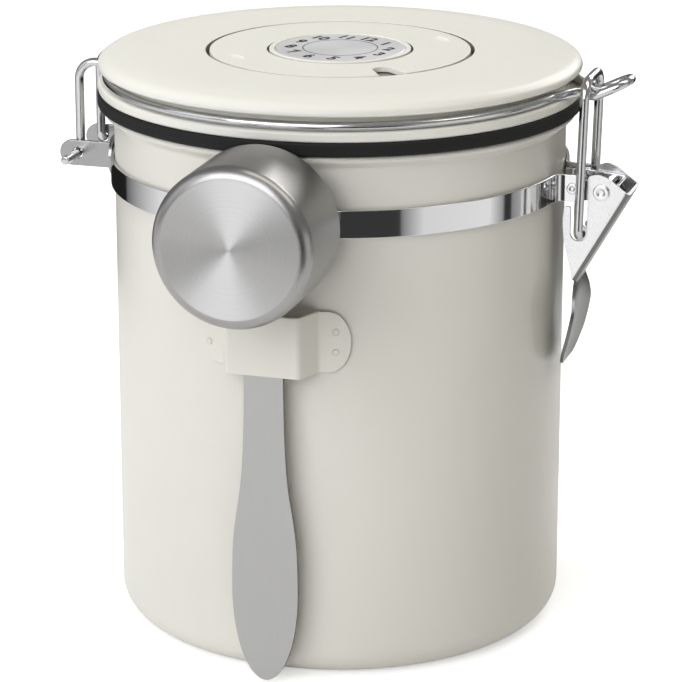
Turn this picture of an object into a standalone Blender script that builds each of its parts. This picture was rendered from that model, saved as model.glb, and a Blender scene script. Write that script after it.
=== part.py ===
"""Airtight coffee canister with a wire latch, a dial lid and a scoop.

Metres, +Z up, the latch on +X, the hinge on -X and the scoop on -Y. The can stands on Z 0.
"""
import math

import bmesh
import bpy
from mathutils import Matrix, Vector

# Driving dimensions, shared
GAP = 0.0003
RIVET_GAP = 0.00015
SHEET = 0.0008
WIRE_RADIUS = 0.0012
OVERRUN = 0.002
MERGE = 0.00001

# How finely the round shapes are cut
SEGMENTS = 48
SMALL_SEGMENTS = 32
TINY_SEGMENTS = 12
ARC_STEP_DEG = 7.5
CORNER_STEP_DEG = 15.0
COARSE_STEP_DEG = 22.5
HIDDEN_STEP_DEG = 30.0
WIRE_SEGMENTS = 12
SPOON_COLUMNS = 8
SHARP_EDGE_DEG = 30.0

# Can
BODY_RADIUS = 0.060
BODY_WALL = 0.0008
BODY_HEIGHT = 0.1404
BASE_FILLET = 0.0071
RIM_OVERHANG = 0.0028
RIM_HEIGHT = 0.0022
FLARE_HEIGHT = 0.0015
BEAD_CURL_DEG = 60.0

# Band and the latch's fixed parts
BAND_DROP = 0.0179
BAND_HEIGHT = 0.0072
TAB_REACH = 0.007
TAB_BEND_RADIUS = 0.003
BRACKET_HALF_WIDTH = 0.0048
BRACKET_REACH = 0.017
BRACKET_ROOT_HEIGHT = 0.0058
BRACKET_TIP_HEIGHT = 0.0036
BRACKET_BEND_RADIUS = 0.0014
BAND_RIVET_REACH = 0.005
BAND_RIVET_RADIUS = 0.0008
BAND_RIVET_HEAD_RADIUS = 0.0015
RIVET_HEAD_HEIGHT = 0.0004

# Lever, placed about its pivot
PIVOT_REACH = 0.0127
PIVOT_DROP = 0.0005
LEVER_RIVET_RADIUS = 0.0016
LEVER_RIVET_HEAD_RADIUS = 0.0022
LEVER_RIVET_HEAD_HEIGHT = 0.00045
CHEEK_PLAY = 0.0004
CHEEK_PEAK_HEIGHT = 0.0046
CHEEK_PEAK_BACK = 0.0017
SPINE_TOP_REACH = 0.0076
SPINE_TOP_DROP = 0.0001
SPINE_FOOT_BACK = 0.0066
SPINE_FOOT_DROP = 0.0252
CHEEK_FOOT_BACK = 0.0072
CHEEK_FOOT_DROP = 0.0239
CHEEK_HEEL_BACK = 0.0101
CHEEK_HEEL_DROP = 0.0100
CHEEK_ARM_BACK = 0.0089
CHEEK_ARM_DROP = 0.0044
SLOT_PLAY = 0.00105
SLOT_OVER_PIN = 0.0006
SLOT_BEHIND_PIN = 0.00035
SPOON_LENGTH = 0.0240
SPOON_NECK_WIDTH = 0.0124
SPOON_WIDTH = 0.0210
SPOON_DISH = 0.0016
SPOON_NECK_OVERLAP = 0.0012

# Bail wire
BAIL_PIN_DROP = 0.0119
BAIL_PIN_BACK = 0.0055
BAIL_PIN_END = 0.0046
BAIL_CREST_RISE = 0.00345
BAIL_CREST_LEAN = 0.0011
BAIL_PIN_BEND = 0.002
BAIL_CREST_BEND = 0.0048
BAIL_SIDE_GAP = 0.00035

# Hinge
HINGE_REACH = 0.0112
HINGE_RISE = 0.0004
EAR_HALF_SPAN = 0.0090
EAR_THICKNESS = 0.0012
EAR_HEIGHT = 0.0070
EAR_REACH = 0.0051
HINGE_PAD_HEIGHT = 0.0106
HINGE_PAD_THICKNESS = 0.0009
HINGE_PAD_HALF_WIDTH = 0.0145
LEG_BEND_RADIUS = 0.0047
LEG_FOOT_BEND = 0.0020
LEG_STUB_LENGTH = 0.0119
LEG_SIDE_GAP = 0.0002

# Lid wire's ring and loop
RING_INSET = 0.00225
RING_EXIT_BEND = 0.0030
LOOP_KINK_HALF_WIDTH = 0.0130
LOOP_HALF_WIDTH = 0.0045
LOOP_START_REACH = 0.0055
LOOP_DIP_REACH = 0.0085
LOOP_DIP = 0.00085
LOOP_RISE_REACH = 0.0100
LOOP_TIP_REACH = 0.0182
LOOP_RISE_DEG = 25.6

# Lid
LID_OVERHANG = 0.004
WIRE_SEAT_GAP = 0.00035
FLANGE_HEIGHT = 0.0022
GASKET_HEIGHT = 0.0030
GASKET_OVERHANG = 0.0003
PLUG_MOUTH_GAP = 0.0037
PLUG_SKIRT_DEPTH = 0.0057
PLUG_FLOOR = 0.0015
PLUG_NECK_WALL = 0.0020
VALVE_HOLE_RADIUS = 0.0093
COVER_RISE = 0.00645
COVER_PLATE = 0.0022
COVER_RIM_ROUND = 0.0049
RECESS_DEPTH = 0.0033
COVER_FLOOR = 0.0014
COVER_STEP = 0.0010
COLLAR_PLAY = 0.002
WHEEL_PLAY = 0.00035
RECESS_WALL = 0.00155
KNOB_STEM_PLAY = 0.0004
LID_VENT_RADIUS = 0.0012
LID_VENT_OUTSET = 0.0051
LID_VENTS = 4

# Dial
CARD_INSET = 0.0004
CARD_STEP_INSET = 0.001
CARD_HEIGHT = 0.00035
CARD_SEAT_GAP = 0.0002
WHEEL_RADIUS = 0.0350
WHEEL_FACE_WIDTH = 0.01575
WHEEL_HEIGHT = 0.0014
WHEEL_COLLAR_WALL = 0.00175
WINDOW_AZIMUTH_DEG = -50.0
WINDOW_DEPTH = 0.0098
WINDOW_INNER_WIDTH = 0.0053
WINDOW_OUTER_WIDTH = 0.0074
DIMPLE_INSET = 0.0057
DIMPLE_WIDTH = 0.0037
DIMPLE_LENGTH = 0.0079
DIMPLE_DEPTH = 0.0006
KNOB_CLEARANCE = 0.0005
KNOB_RIM_RISE = 0.0003
KNOB_RIM_WIDTH = 0.00135
KNOB_RECESS = 0.0008
KNOB_FLOOR = 0.0010
KNOB_STEM_RADIUS = 0.0070
KNOB_STEM_WALL = 0.0012
KNOB_SNAP_LAP = 0.0005
KNOB_SNAP_HEIGHT = 0.0006
DIAL_HEIGHT = 0.0005

# One-way valve in the lid
SEAT_FLANGE_LAP = 0.0017
SEAT_FLANGE_HEIGHT = 0.0010
SEAT_TUBE_WALL = 0.0012
SEAT_VENT_RADIUS = 0.0011
SEAT_VENT_REACH = 0.0040
SEAT_VENTS = 6
DISC_RADIUS = 0.0065
DISC_HEIGHT = 0.0006
DISC_STEM_RADIUS = 0.0010
DISC_BULB_RADIUS = 0.0016
DISC_BULB_HEIGHT = 0.0008
DISC_TRAVEL = 0.0008
FILTER_HEIGHT = 0.0008
CAP_LAP = 0.0017
CAP_HEIGHT = 0.0022
CAP_SLOT_WIDTH = 0.0015
CAP_SLOTS = 5

# Scoop and its holder
CLIP_DROP = 0.0306
CLIP_HEIGHT = 0.0160
CLIP_LOBE_DEG = 20.0
CLIP_FOOT_HALF_WIDTH = 0.0123
CLIP_BRIDGE_OUTSET = 0.00645
CLIP_POCKET_HALF_WIDTH = 0.00905
CLIP_BEND_RADIUS = 0.0008
SCOOP_RADIUS = 0.0205
SCOOP_DEPTH = 0.0250
SCOOP_WALL = 0.0008
SCOOP_EDGE_ROUND = 0.0030
HANDLE_TOP_GAP = 0.0004
HANDLE_THICKNESS = 0.0012
HANDLE_PLAY = 0.00035
HANDLE_FOOT_Z = 0.001
HANDLE_RISE = 0.0106
HANDLE_WIDTH = 0.0174
HANDLE_NECK_WIDTH = 0.0096
HANDLE_TAB_LENGTH = 0.0121

# Outlines, as shares of the sizes named in the functions that use them
HANDLE_SHARES = (
    (1.0, 0.552), (0.8, 0.552), (0.62, 0.586), (0.51, 0.690), (0.41, 0.874), (0.30, 1.0), (0.19, 0.966),
    (0.10, 0.850), (0.045, 0.650), (0.012, 0.360),
)
SPOON_SHARES = (
    (0.0, 0.0), (0.08, 0.16), (0.20, 0.63), (0.34, 0.93), (0.50, 1.0), (0.65, 0.91), (0.78, 0.63),
    (0.88, 0.19), (0.95, -0.35), (0.985, -0.84), (1.0, -1.25),
)
SPOON_PATH_SHARES = ((0.0, 0.0), (0.22, 0.035), (0.50, 0.100), (0.80, 0.170), (1.0, 0.185))
CHEEK_FLANK_SHARES = ((0.76, 0.66), (0.36, 0.90))

TAU = 2.0 * math.pi


def clear_scene():
    for old in list(bpy.data.objects):
        bpy.data.objects.remove(old, do_unlink=True)


def new_collection(name):
    collection = bpy.data.collections.new(name)
    bpy.context.scene.collection.children.link(collection)
    return collection


clear_scene()
PARTS = new_collection("coffee_canister")
CUTTERS = new_collection("cutters")


def finish(name, colour, roughness, metallic):
    material = bpy.data.materials.new(name)
    material.use_nodes = True
    shader = material.node_tree.nodes["Principled BSDF"]
    shader.inputs["Base Color"].default_value = (*colour, 1.0)
    shader.inputs["Roughness"].default_value = roughness
    shader.inputs["Metallic"].default_value = metallic
    return material


POLISHED_STEEL = finish("polished_steel", (0.70, 0.70, 0.71), 0.12, 1.0)
BRUSHED_STEEL = finish("brushed_steel", (0.56, 0.56, 0.56), 0.32, 1.0)
SATIN_STEEL = finish("satin_steel", (0.48, 0.48, 0.47), 0.42, 1.0)
CREAM_PAINT = finish("cream_paint", (0.77, 0.76, 0.69), 0.40, 0.0)
IVORY_PLASTIC = finish("ivory_plastic", (0.83, 0.82, 0.75), 0.35, 0.0)
BLACK_SILICONE = finish("black_silicone", (0.018, 0.018, 0.018), 0.50, 0.0)
PALE_SILICONE = finish("pale_silicone", (0.70, 0.70, 0.68), 0.50, 0.0)
GREY_CARD = finish("grey_card", (0.35, 0.35, 0.33), 0.60, 0.0)
GREY_FELT = finish("grey_felt", (0.55, 0.54, 0.50), 0.95, 0.0)


def link(obj, material, collection):
    collection.objects.link(obj)
    if collection is CUTTERS:
        obj.hide_render = True
        obj.display_type = "WIRE"
    else:
        obj.data.materials.append(material)
    return obj


def arc(centre, radius, start_deg, end_deg, step_deg=CORNER_STEP_DEG):
    """Points round a centre in the plane, from one angle to another."""
    count = max(2, round(abs(end_deg - start_deg) / step_deg))
    angles = [math.radians(start_deg + (end_deg - start_deg) * i / count) for i in range(count + 1)]
    return [(centre[0] + radius * math.cos(a), centre[1] + radius * math.sin(a)) for a in angles]


def ring_of(centre, radius):
    """A small round hole's outline."""
    return arc(centre, radius, 0, 360, 360 / TINY_SEGMENTS)[:-1]


def round_corners(points, radii):
    """Replaces each corner of a path that has a radius with an arc that touches both of its sides."""
    path = [Vector(p).to_3d() for p in points]
    last = len(path) - 1
    result = []
    for i, (corner, radius) in enumerate(zip(path, radii)):
        if radius == 0 or i in (0, last):
            result.append(corner)
            continue
        back = (path[i - 1] - corner).normalized()
        ahead = (path[i + 1] - corner).normalized()
        turn = math.pi - back.angle(ahead)
        middle = (back + ahead).normalized()
        centre = corner + middle * (radius / math.cos(turn / 2))
        across = -middle
        along = (ahead - back).normalized()
        count = max(2, math.ceil(math.degrees(turn) / CORNER_STEP_DEG))
        for k in range(count + 1):
            angle = turn * (k / count - 1 / 2)
            result.append(centre + (across * math.cos(angle) + along * math.sin(angle)) * radius)
    return result


def flat(points):
    return [(p[0], p[1]) for p in points]


def turned(name, profile, material, steps=SEGMENTS, closed=True, collection=PARTS):
    """A profile of (radius, height) points turned about Z, its outer side listed from top to bottom."""
    mesh = bpy.data.meshes.new(name)
    edges = [(i, i + 1) for i in range(len(profile) - 1)]
    if closed:
        edges.append((len(profile) - 1, 0))
    mesh.from_pydata([(r, 0, z) for r, z in profile], edges, [])
    obj = link(bpy.data.objects.new(name, mesh), material, collection)
    screw = obj.modifiers.new("turn", "SCREW")
    screw.steps = steps
    screw.render_steps = steps
    screw.use_merge_vertices = True
    screw.merge_threshold = MERGE
    screw.use_smooth_shade = True
    return obj


def to_mesh(obj):
    """Turns a curve, or a mesh with modifiers, into a plain welded mesh under the same name."""
    bpy.context.view_layer.update()
    graph = bpy.context.evaluated_depsgraph_get()
    mesh = bpy.data.meshes.new_from_object(obj.evaluated_get(graph))
    edit = bmesh.new()
    edit.from_mesh(mesh)
    bmesh.ops.remove_doubles(edit, verts=edit.verts, dist=MERGE)
    bmesh.ops.recalc_face_normals(edit, faces=edit.faces)
    edit.to_mesh(mesh)
    edit.free()
    name = obj.name
    collection = obj.users_collection[0]
    result = bpy.data.objects.new(name, mesh)
    result.matrix_world = obj.matrix_world.copy()
    collection.objects.link(result)
    result.hide_render = obj.hide_render
    result.display_type = obj.display_type
    bpy.data.objects.remove(obj, do_unlink=True)
    result.name = name
    return result


def plate(name, outlines, thickness, material, matrix=None, collection=PARTS):
    """A flat outline, with any holes in it, given a thickness about its own plane."""
    curve = bpy.data.curves.new(name, "CURVE")
    curve.dimensions = "2D"
    curve.fill_mode = "BOTH"
    curve.extrude = thickness / 2
    for outline in outlines:
        spline = curve.splines.new("POLY")
        spline.points.add(len(outline) - 1)
        for point, place in zip(spline.points, outline):
            point.co = (place[0], place[1], 0, 1)
        spline.use_cyclic_u = True
    obj = link(bpy.data.objects.new(name, curve), material, collection)
    obj.matrix_world = matrix or Matrix()
    return to_mesh(obj)


def upright(y=0.0):
    """Stands a plate up so that its outline reads as (X, Z) and its thickness runs along Y."""
    return Matrix.Translation((0, y, 0)) @ Matrix.Rotation(math.radians(90), 4, "X")


def lifted(z):
    return Matrix.Translation((0, 0, z))


def strip_outline(path, thickness):
    """Both faces of a bent strip, from its middle line in the plane."""
    points = [Vector(p).to_2d() for p in path]
    left, right = [], []
    for i, point in enumerate(points):
        before = points[max(i - 1, 0)]
        after = points[min(i + 1, len(points) - 1)]
        back = (point - before).normalized() if i > 0 else (after - point).normalized()
        ahead = (after - point).normalized() if i < len(points) - 1 else back
        along = (back + ahead).normalized()
        side = Vector((-along.y, along.x)) * (thickness / 2 / max(along.dot(ahead), 1 / 2))
        left.append(point + side)
        right.append(point - side)
    return flat(left + right[::-1])


def wire(name, points, radius, material):
    """A round wire along a list of points, with capped ends."""
    curve = bpy.data.curves.new(name, "CURVE")
    curve.dimensions = "3D"
    curve.bevel_depth = radius
    curve.bevel_resolution = WIRE_SEGMENTS // 4 - 1
    curve.use_fill_caps = True
    spline = curve.splines.new("POLY")
    spline.points.add(len(points) - 1)
    for point, place in zip(spline.points, points):
        point.co = (*place, 1)
        point.radius = 1
    obj = link(bpy.data.objects.new(name, curve), material, PARTS)
    return to_mesh(obj)


def rod(name, radius, start, end, steps=TINY_SEGMENTS):
    """A round cutter between two points."""
    start, end = Vector(start), Vector(end)
    mesh = bpy.data.meshes.new(name)
    edit = bmesh.new()
    bmesh.ops.create_cone(
        edit, cap_ends=True, segments=steps, radius1=radius, radius2=radius, depth=(end - start).length
    )
    edit.to_mesh(mesh)
    edit.free()
    obj = link(bpy.data.objects.new(name, mesh), None, CUTTERS)
    turn = (end - start).to_track_quat("Z", "Y").to_matrix().to_4x4()
    obj.matrix_world = Matrix.Translation((start + end) / 2) @ turn
    return obj


def block(name, low, high, turn_deg=0.0):
    """A box cutter between two corners, turned about Z."""
    low, high = Vector(low), Vector(high)
    mesh = bpy.data.meshes.new(name)
    edit = bmesh.new()
    bmesh.ops.create_cube(edit, size=1)
    bmesh.ops.scale(edit, vec=high - low, verts=edit.verts)
    bmesh.ops.translate(edit, vec=(low + high) / 2, verts=edit.verts)
    edit.to_mesh(mesh)
    edit.free()
    obj = link(bpy.data.objects.new(name, mesh), None, CUTTERS)
    obj.matrix_world = Matrix.Rotation(math.radians(turn_deg), 4, "Z")
    return obj


def boolean(obj, other, operation="DIFFERENCE"):
    step = obj.modifiers.new(operation.lower(), "BOOLEAN")
    step.operation = operation
    step.object = other
    step.solver = "EXACT"
    return obj


def settle(obj, material, origin=(0, 0, 0)):
    """Applies what is left on a mesh, shades it smooth and moves its origin to its joint."""
    obj = to_mesh(obj)
    obj.data.transform(obj.matrix_world)
    obj.matrix_world = Matrix()
    obj.data.transform(Matrix.Translation(-Vector(origin)))
    obj.location = origin
    obj.data.shade_smooth()
    obj.data.set_sharp_from_angle(angle=math.radians(SHARP_EDGE_DEG))
    obj.data.materials.clear()
    obj.data.materials.append(material)
    return obj


# Places worked out from the sizes above, from the can outwards and upwards
BAND_Z = BODY_HEIGHT - BAND_DROP
BAND_RADIUS = BODY_RADIUS + GAP
BRACKET_OUTER = BRACKET_HALF_WIDTH + SHEET
BRACKET_END = BODY_RADIUS + BRACKET_REACH
TAB_INNER = BRACKET_OUTER + GAP
TAB_END = BODY_RADIUS + TAB_REACH
CHEEK_INNER = BRACKET_OUTER + CHEEK_PLAY
CHEEK_OUTER = CHEEK_INNER + SHEET
BAND_RIVET_X = BODY_RADIUS + BAND_RIVET_REACH
LEVER_RIVET_OUTER = CHEEK_OUTER + RIVET_GAP + LEVER_RIVET_HEAD_HEIGHT
BAIL_SIDE = LEVER_RIVET_OUTER + BAIL_SIDE_GAP + WIRE_RADIUS
PIVOT = Vector((BODY_RADIUS + PIVOT_REACH, 0, BAND_Z - PIVOT_DROP))
BAIL_PIN = PIVOT + Vector((-BAIL_PIN_BACK, 0, -BAIL_PIN_DROP))
SLOT_RADIUS = WIRE_RADIUS + SLOT_PLAY
SLOT_X = BAIL_PIN.x - SLOT_BEHIND_PIN
SLOT_Z = BAIL_PIN.z + SLOT_OVER_PIN
HINGE = Vector((-BODY_RADIUS - HINGE_REACH, 0, BAND_Z + HINGE_RISE))
HINGE_PAD_RADIUS = BAND_RADIUS + SHEET + GAP
LEG_SIDE = EAR_HALF_SPAN - LEG_SIDE_GAP - WIRE_RADIUS
LEG_STUB_END = LEG_SIDE + LEG_STUB_LENGTH
GASKET_LOW_Z = BODY_HEIGHT + GAP
FLANGE_LOW_Z = GASKET_LOW_Z + GASKET_HEIGHT + GAP
FLANGE_TOP_Z = FLANGE_LOW_Z + FLANGE_HEIGHT
LID_RADIUS = BODY_RADIUS + LID_OVERHANG
RING_RADIUS = LID_RADIUS - RING_INSET
RING_Z = FLANGE_TOP_Z + WIRE_SEAT_GAP + WIRE_RADIUS
BAIL_CREST_Z = RING_Z + BAIL_CREST_RISE
PLUG_RADIUS = BODY_RADIUS - BODY_WALL - PLUG_MOUTH_GAP
PLUG_BOTTOM_Z = FLANGE_LOW_Z - PLUG_SKIRT_DEPTH
PLUG_FLOOR_Z = PLUG_BOTTOM_Z + PLUG_FLOOR
NECK_RADIUS = RING_RADIUS - WIRE_RADIUS - WIRE_SEAT_GAP
SKIRT_INNER_RADIUS = NECK_RADIUS + GAP
COVER_UNDER_Z = RING_Z + WIRE_RADIUS + WIRE_SEAT_GAP
COVER_TOP_Z = RING_Z + COVER_RISE
COVER_INSIDE_Z = COVER_TOP_Z - COVER_PLATE
COVER_FLOOR_Z = COVER_TOP_Z - RECESS_DEPTH
COVER_FLOOR_UNDER_Z = COVER_FLOOR_Z - COVER_FLOOR
COVER_STEP_Z = COVER_FLOOR_Z + COVER_STEP
RECESS_RADIUS = WHEEL_RADIUS + WHEEL_PLAY
WHEEL_INNER_RADIUS = WHEEL_RADIUS - WHEEL_FACE_WIDTH
WHEEL_COLLAR_RADIUS = WHEEL_INNER_RADIUS + WHEEL_COLLAR_WALL
WHEEL_LOW_Z = COVER_TOP_Z - WHEEL_HEIGHT
DIAL_FOOT_Z = COVER_FLOOR_Z + GAP
COVER_STEP_RADIUS = WHEEL_COLLAR_RADIUS + COLLAR_PLAY
CARD_RADIUS = WHEEL_RADIUS - CARD_INSET
CARD_INNER_RADIUS = COVER_STEP_RADIUS + CARD_STEP_INSET
CARD_Z = COVER_STEP_Z + CARD_SEAT_GAP
KNOB_RADIUS = WHEEL_INNER_RADIUS - KNOB_CLEARANCE
KNOB_TOP_Z = COVER_TOP_Z + KNOB_RIM_RISE
KNOB_RECESS_Z = KNOB_TOP_Z - KNOB_RECESS
KNOB_RECESS_RADIUS = KNOB_RADIUS - KNOB_RIM_WIDTH
HUB_HOLE_RADIUS = KNOB_STEM_RADIUS + KNOB_STEM_PLAY
KNOB_SNAP_RADIUS = HUB_HOLE_RADIUS + KNOB_SNAP_LAP
DIAL_RADIUS = KNOB_RECESS_RADIUS - GAP
LID_VENT_REACH = HUB_HOLE_RADIUS + LID_VENT_OUTSET
SEAT_FLANGE_Z = PLUG_FLOOR_Z + GAP
SEAT_TOP_Z = SEAT_FLANGE_Z + SEAT_FLANGE_HEIGHT
SEAT_RADIUS = VALVE_HOLE_RADIUS - GAP
SEAT_FLANGE_RADIUS = VALVE_HOLE_RADIUS + SEAT_FLANGE_LAP
CAP_RADIUS = VALVE_HOLE_RADIUS + CAP_LAP
CAP_TOP_Z = PLUG_BOTTOM_Z - GAP
CAP_LOW_Z = CAP_TOP_Z - CAP_HEIGHT
CAP_INNER_RADIUS = CAP_RADIUS - SHEET
CLIP_Z = BAND_Z - CLIP_DROP
HANDLE_OUTER = BODY_RADIUS + CLIP_BRIDGE_OUTSET - HANDLE_PLAY
HANDLE_INNER = HANDLE_OUTER - HANDLE_THICKNESS
SCOOP_MOUTH = HANDLE_OUTER + 2 * HANDLE_PLAY
HANDLE_TOP_Z = CLIP_Z + HANDLE_RISE
SCOOP_Z = HANDLE_TOP_Z + HANDLE_TOP_GAP + SCOOP_RADIUS
HANDLE_LENGTH = HANDLE_TOP_Z - HANDLE_FOOT_Z


def make_body():
    inside = BODY_RADIUS - BODY_WALL
    rim = BODY_RADIUS + RIM_OVERHANG
    bead = RIM_HEIGHT / 2
    base_round = flat(arc((BODY_RADIUS - BASE_FILLET, BASE_FILLET), BASE_FILLET, 0, -90, COARSE_STEP_DEG))
    inner_round = flat(
        arc((BODY_RADIUS - BASE_FILLET, BASE_FILLET), BASE_FILLET - BODY_WALL, -90, 0, HIDDEN_STEP_DEG)
    )
    bead_round = arc((rim - bead, BODY_HEIGHT - bead), bead, 90, -BEAD_CURL_DEG, HIDDEN_STEP_DEG)
    lead_in = BODY_WALL / 2
    profile = [(0, BODY_WALL)] + inner_round
    profile += [(inside, BODY_HEIGHT - lead_in), (inside + lead_in, BODY_HEIGHT)] + bead_round
    profile += [(BODY_RADIUS, BODY_HEIGHT - RIM_HEIGHT - FLARE_HEIGHT)] + base_round + [(0, 0)]
    return settle(turned("body_shell", profile, CREAM_PAINT, closed=False), CREAM_PAINT)


def band_path():
    """The band's middle line: the left tab, the bend, round the can, and the same again mirrored."""
    middle = BAND_RADIUS + SHEET / 2
    tab_side = TAB_INNER + SHEET / 2
    bend = TAB_BEND_RADIUS + SHEET / 2
    meet = math.asin((tab_side + bend) / (middle + bend))
    centre = ((middle + bend) * math.cos(meet), (middle + bend) * math.sin(meet))
    corner = arc(centre, bend, -90, -180 + math.degrees(meet))
    tab_end = (TAB_END, tab_side)
    around = arc((0, 0), middle, math.degrees(meet), 180, ARC_STEP_DEG)
    half = [tab_end] + corner + around[1:]
    other = [(x, -y) for x, y in half[:-1]]
    return half + other[::-1]


def make_band():
    outline = strip_outline(band_path(), SHEET)
    band = plate("band_strap", [outline], BAND_HEIGHT, POLISHED_STEEL, lifted(BAND_Z))
    reach = TAB_INNER + SHEET + OVERRUN
    hole = rod(
        "band_rivet_holes", BAND_RIVET_RADIUS + RIVET_GAP,
        (BAND_RIVET_X, -reach, BAND_Z), (BAND_RIVET_X, reach, BAND_Z),
    )
    return settle(boolean(band, hole), POLISHED_STEEL)


def make_bracket():
    wall = BRACKET_HALF_WIDTH + SHEET / 2
    root = BAND_RADIUS + GAP
    tip = BRACKET_END - SHEET / 2
    bend = BRACKET_BEND_RADIUS
    path = round_corners([(root, -wall), (tip, -wall), (tip, wall), (root, wall)], [0, bend, bend, 0])
    middle_z = PIVOT.z
    bracket = plate(
        "latch_bracket", [strip_outline(path, SHEET)], BRACKET_ROOT_HEIGHT + OVERRUN, POLISHED_STEEL,
        lifted(middle_z),
    )
    deep = BRACKET_ROOT_HEIGHT / 2
    slim = BRACKET_TIP_HEIGHT / 2
    side = [
        (root - OVERRUN, middle_z - deep), (TAB_END, middle_z - deep),
        (BRACKET_END + OVERRUN, middle_z - slim), (BRACKET_END + OVERRUN, middle_z + slim),
        (TAB_END, middle_z + deep), (root - OVERRUN, middle_z + deep),
    ]
    band_hole = ring_of((BAND_RIVET_X, BAND_Z), BAND_RIVET_RADIUS + RIVET_GAP)
    pivot_hole = ring_of((PIVOT.x, PIVOT.z), LEVER_RIVET_RADIUS + GAP)
    guide = plate(
        "bracket_side", [side, band_hole, pivot_hole], 2 * (BRACKET_OUTER + OVERRUN), None, upright(),
        CUTTERS,
    )
    return settle(boolean(bracket, guide, "INTERSECT"), POLISHED_STEEL)


def rivet_profile(low, high, shaft, head, head_height):
    """A pin with a low domed head at each end."""
    crown = head_height / 2
    return [
        (0, high + head_height), (head - crown, high + head_height), (head, high + crown), (head, high),
        (shaft, high), (shaft, low), (head, low), (head, low - crown), (head - crown, low - head_height),
        (0, low - head_height),
    ]


def make_band_rivets():
    low = BRACKET_HALF_WIDTH - RIVET_GAP
    high = TAB_INNER + SHEET + RIVET_GAP
    profile = rivet_profile(low, high, BAND_RIVET_RADIUS, BAND_RIVET_HEAD_RADIUS, RIVET_HEAD_HEIGHT)
    for name, turn in (("band_rivet_near", 90), ("band_rivet_far", -90)):
        rivet = turned(name, profile, POLISHED_STEEL, TINY_SEGMENTS, closed=False)
        place = Matrix.Translation((BAND_RIVET_X, 0, BAND_Z))
        rivet.matrix_world = place @ Matrix.Rotation(math.radians(turn), 4, "X")
        settle(rivet, POLISHED_STEEL)


def make_lever_rivet():
    reach = CHEEK_OUTER + RIVET_GAP
    profile = rivet_profile(
        -reach, reach, LEVER_RIVET_RADIUS, LEVER_RIVET_HEAD_RADIUS, LEVER_RIVET_HEAD_HEIGHT
    )
    rivet = turned("lever_rivet", profile, POLISHED_STEEL, TINY_SEGMENTS, closed=False)
    rivet.matrix_world = Matrix.Translation(PIVOT) @ Matrix.Rotation(math.radians(90), 4, "X")
    return settle(rivet, POLISHED_STEEL)


def about_pivot(back, drop):
    return (PIVOT.x - back, PIVOT.z - drop)


def spine_line():
    """The spine's two ends on its outer face, and the direction from top to foot."""
    top = Vector(about_pivot(-SPINE_TOP_REACH, SPINE_TOP_DROP))
    foot = Vector(about_pivot(SPINE_FOOT_BACK, SPINE_FOOT_DROP))
    along = (foot - top).normalized()
    return top, foot, along


def cheek_outline():
    top, foot, _ = spine_line()
    heel = about_pivot(CHEEK_HEEL_BACK, CHEEK_HEEL_DROP)
    cheek_foot = about_pivot(CHEEK_FOOT_BACK, CHEEK_FOOT_DROP)
    flank = [
        (
            cheek_foot[0] + (heel[0] - cheek_foot[0]) * forward,
            cheek_foot[1] + (heel[1] - cheek_foot[1]) * (1 - up),
        )
        for up, forward in CHEEK_FLANK_SHARES
    ]
    arm = about_pivot(CHEEK_ARM_BACK, CHEEK_ARM_DROP)
    arm_outer = (heel[0], arm[1] - SHEET)
    slot = arc((SLOT_X, SLOT_Z), SLOT_RADIUS, 180, 360)
    peak = about_pivot(CHEEK_PEAK_BACK, -CHEEK_PEAK_HEIGHT)
    shoulder = (SLOT_X + SLOT_RADIUS, peak[1] - SHEET)
    front = [tuple(foot), cheek_foot] + flank + [heel, arm_outer, arm, (SLOT_X - SLOT_RADIUS, arm[1])]
    return front + slot + [shoulder, peak, tuple(top)]


def make_spoon():
    """The thumb tab: a grid that widens, bends back and ends round, then gets its thickness."""
    _, foot, along = spine_line()
    inner = Vector((along.y, -along.x))
    start = foot - along * SPOON_NECK_OVERLAP + inner * (SHEET / 2)
    rows = []
    widest = SPOON_WIDTH / 2
    neck = SPOON_NECK_WIDTH / 2
    for share, fullness in SPOON_SHARES:
        down = SPOON_LENGTH * share
        x = start.x - spoon_lean(share) * SPOON_LENGTH
        z = start.y - down
        half = neck + (widest - neck) * fullness
        half = max(half, SHEET)
        row = []
        for k in range(SPOON_COLUMNS + 1):
            across = 2 * k / SPOON_COLUMNS - 1
            dish = SPOON_DISH * across * across * share * (half / widest)
            row.append((x + dish, half * across, z + dish * spoon_lean(1)))
        rows.append(row)
    vertices = [point for row in rows for point in row]
    width = SPOON_COLUMNS + 1
    faces = [
        (r * width + k, r * width + k + 1, (r + 1) * width + k + 1, (r + 1) * width + k)
        for r in range(len(rows) - 1)
        for k in range(SPOON_COLUMNS)
    ]
    mesh = bpy.data.meshes.new("spoon")
    mesh.from_pydata(vertices, [], faces)
    obj = link(bpy.data.objects.new("spoon", mesh), None, CUTTERS)
    wall = obj.modifiers.new("wall", "SOLIDIFY")
    wall.thickness = SHEET
    wall.offset = 0
    wall.use_even_offset = True
    return to_mesh(obj)


def spoon_lean(share):
    """How far the tab has come in towards the can, read off its path by straight steps."""
    for (low, near), (high, far) in zip(SPOON_PATH_SHARES, SPOON_PATH_SHARES[1:]):
        if share <= high:
            return near + (far - near) * (share - low) / (high - low)
    return SPOON_PATH_SHARES[-1][1]


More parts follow.
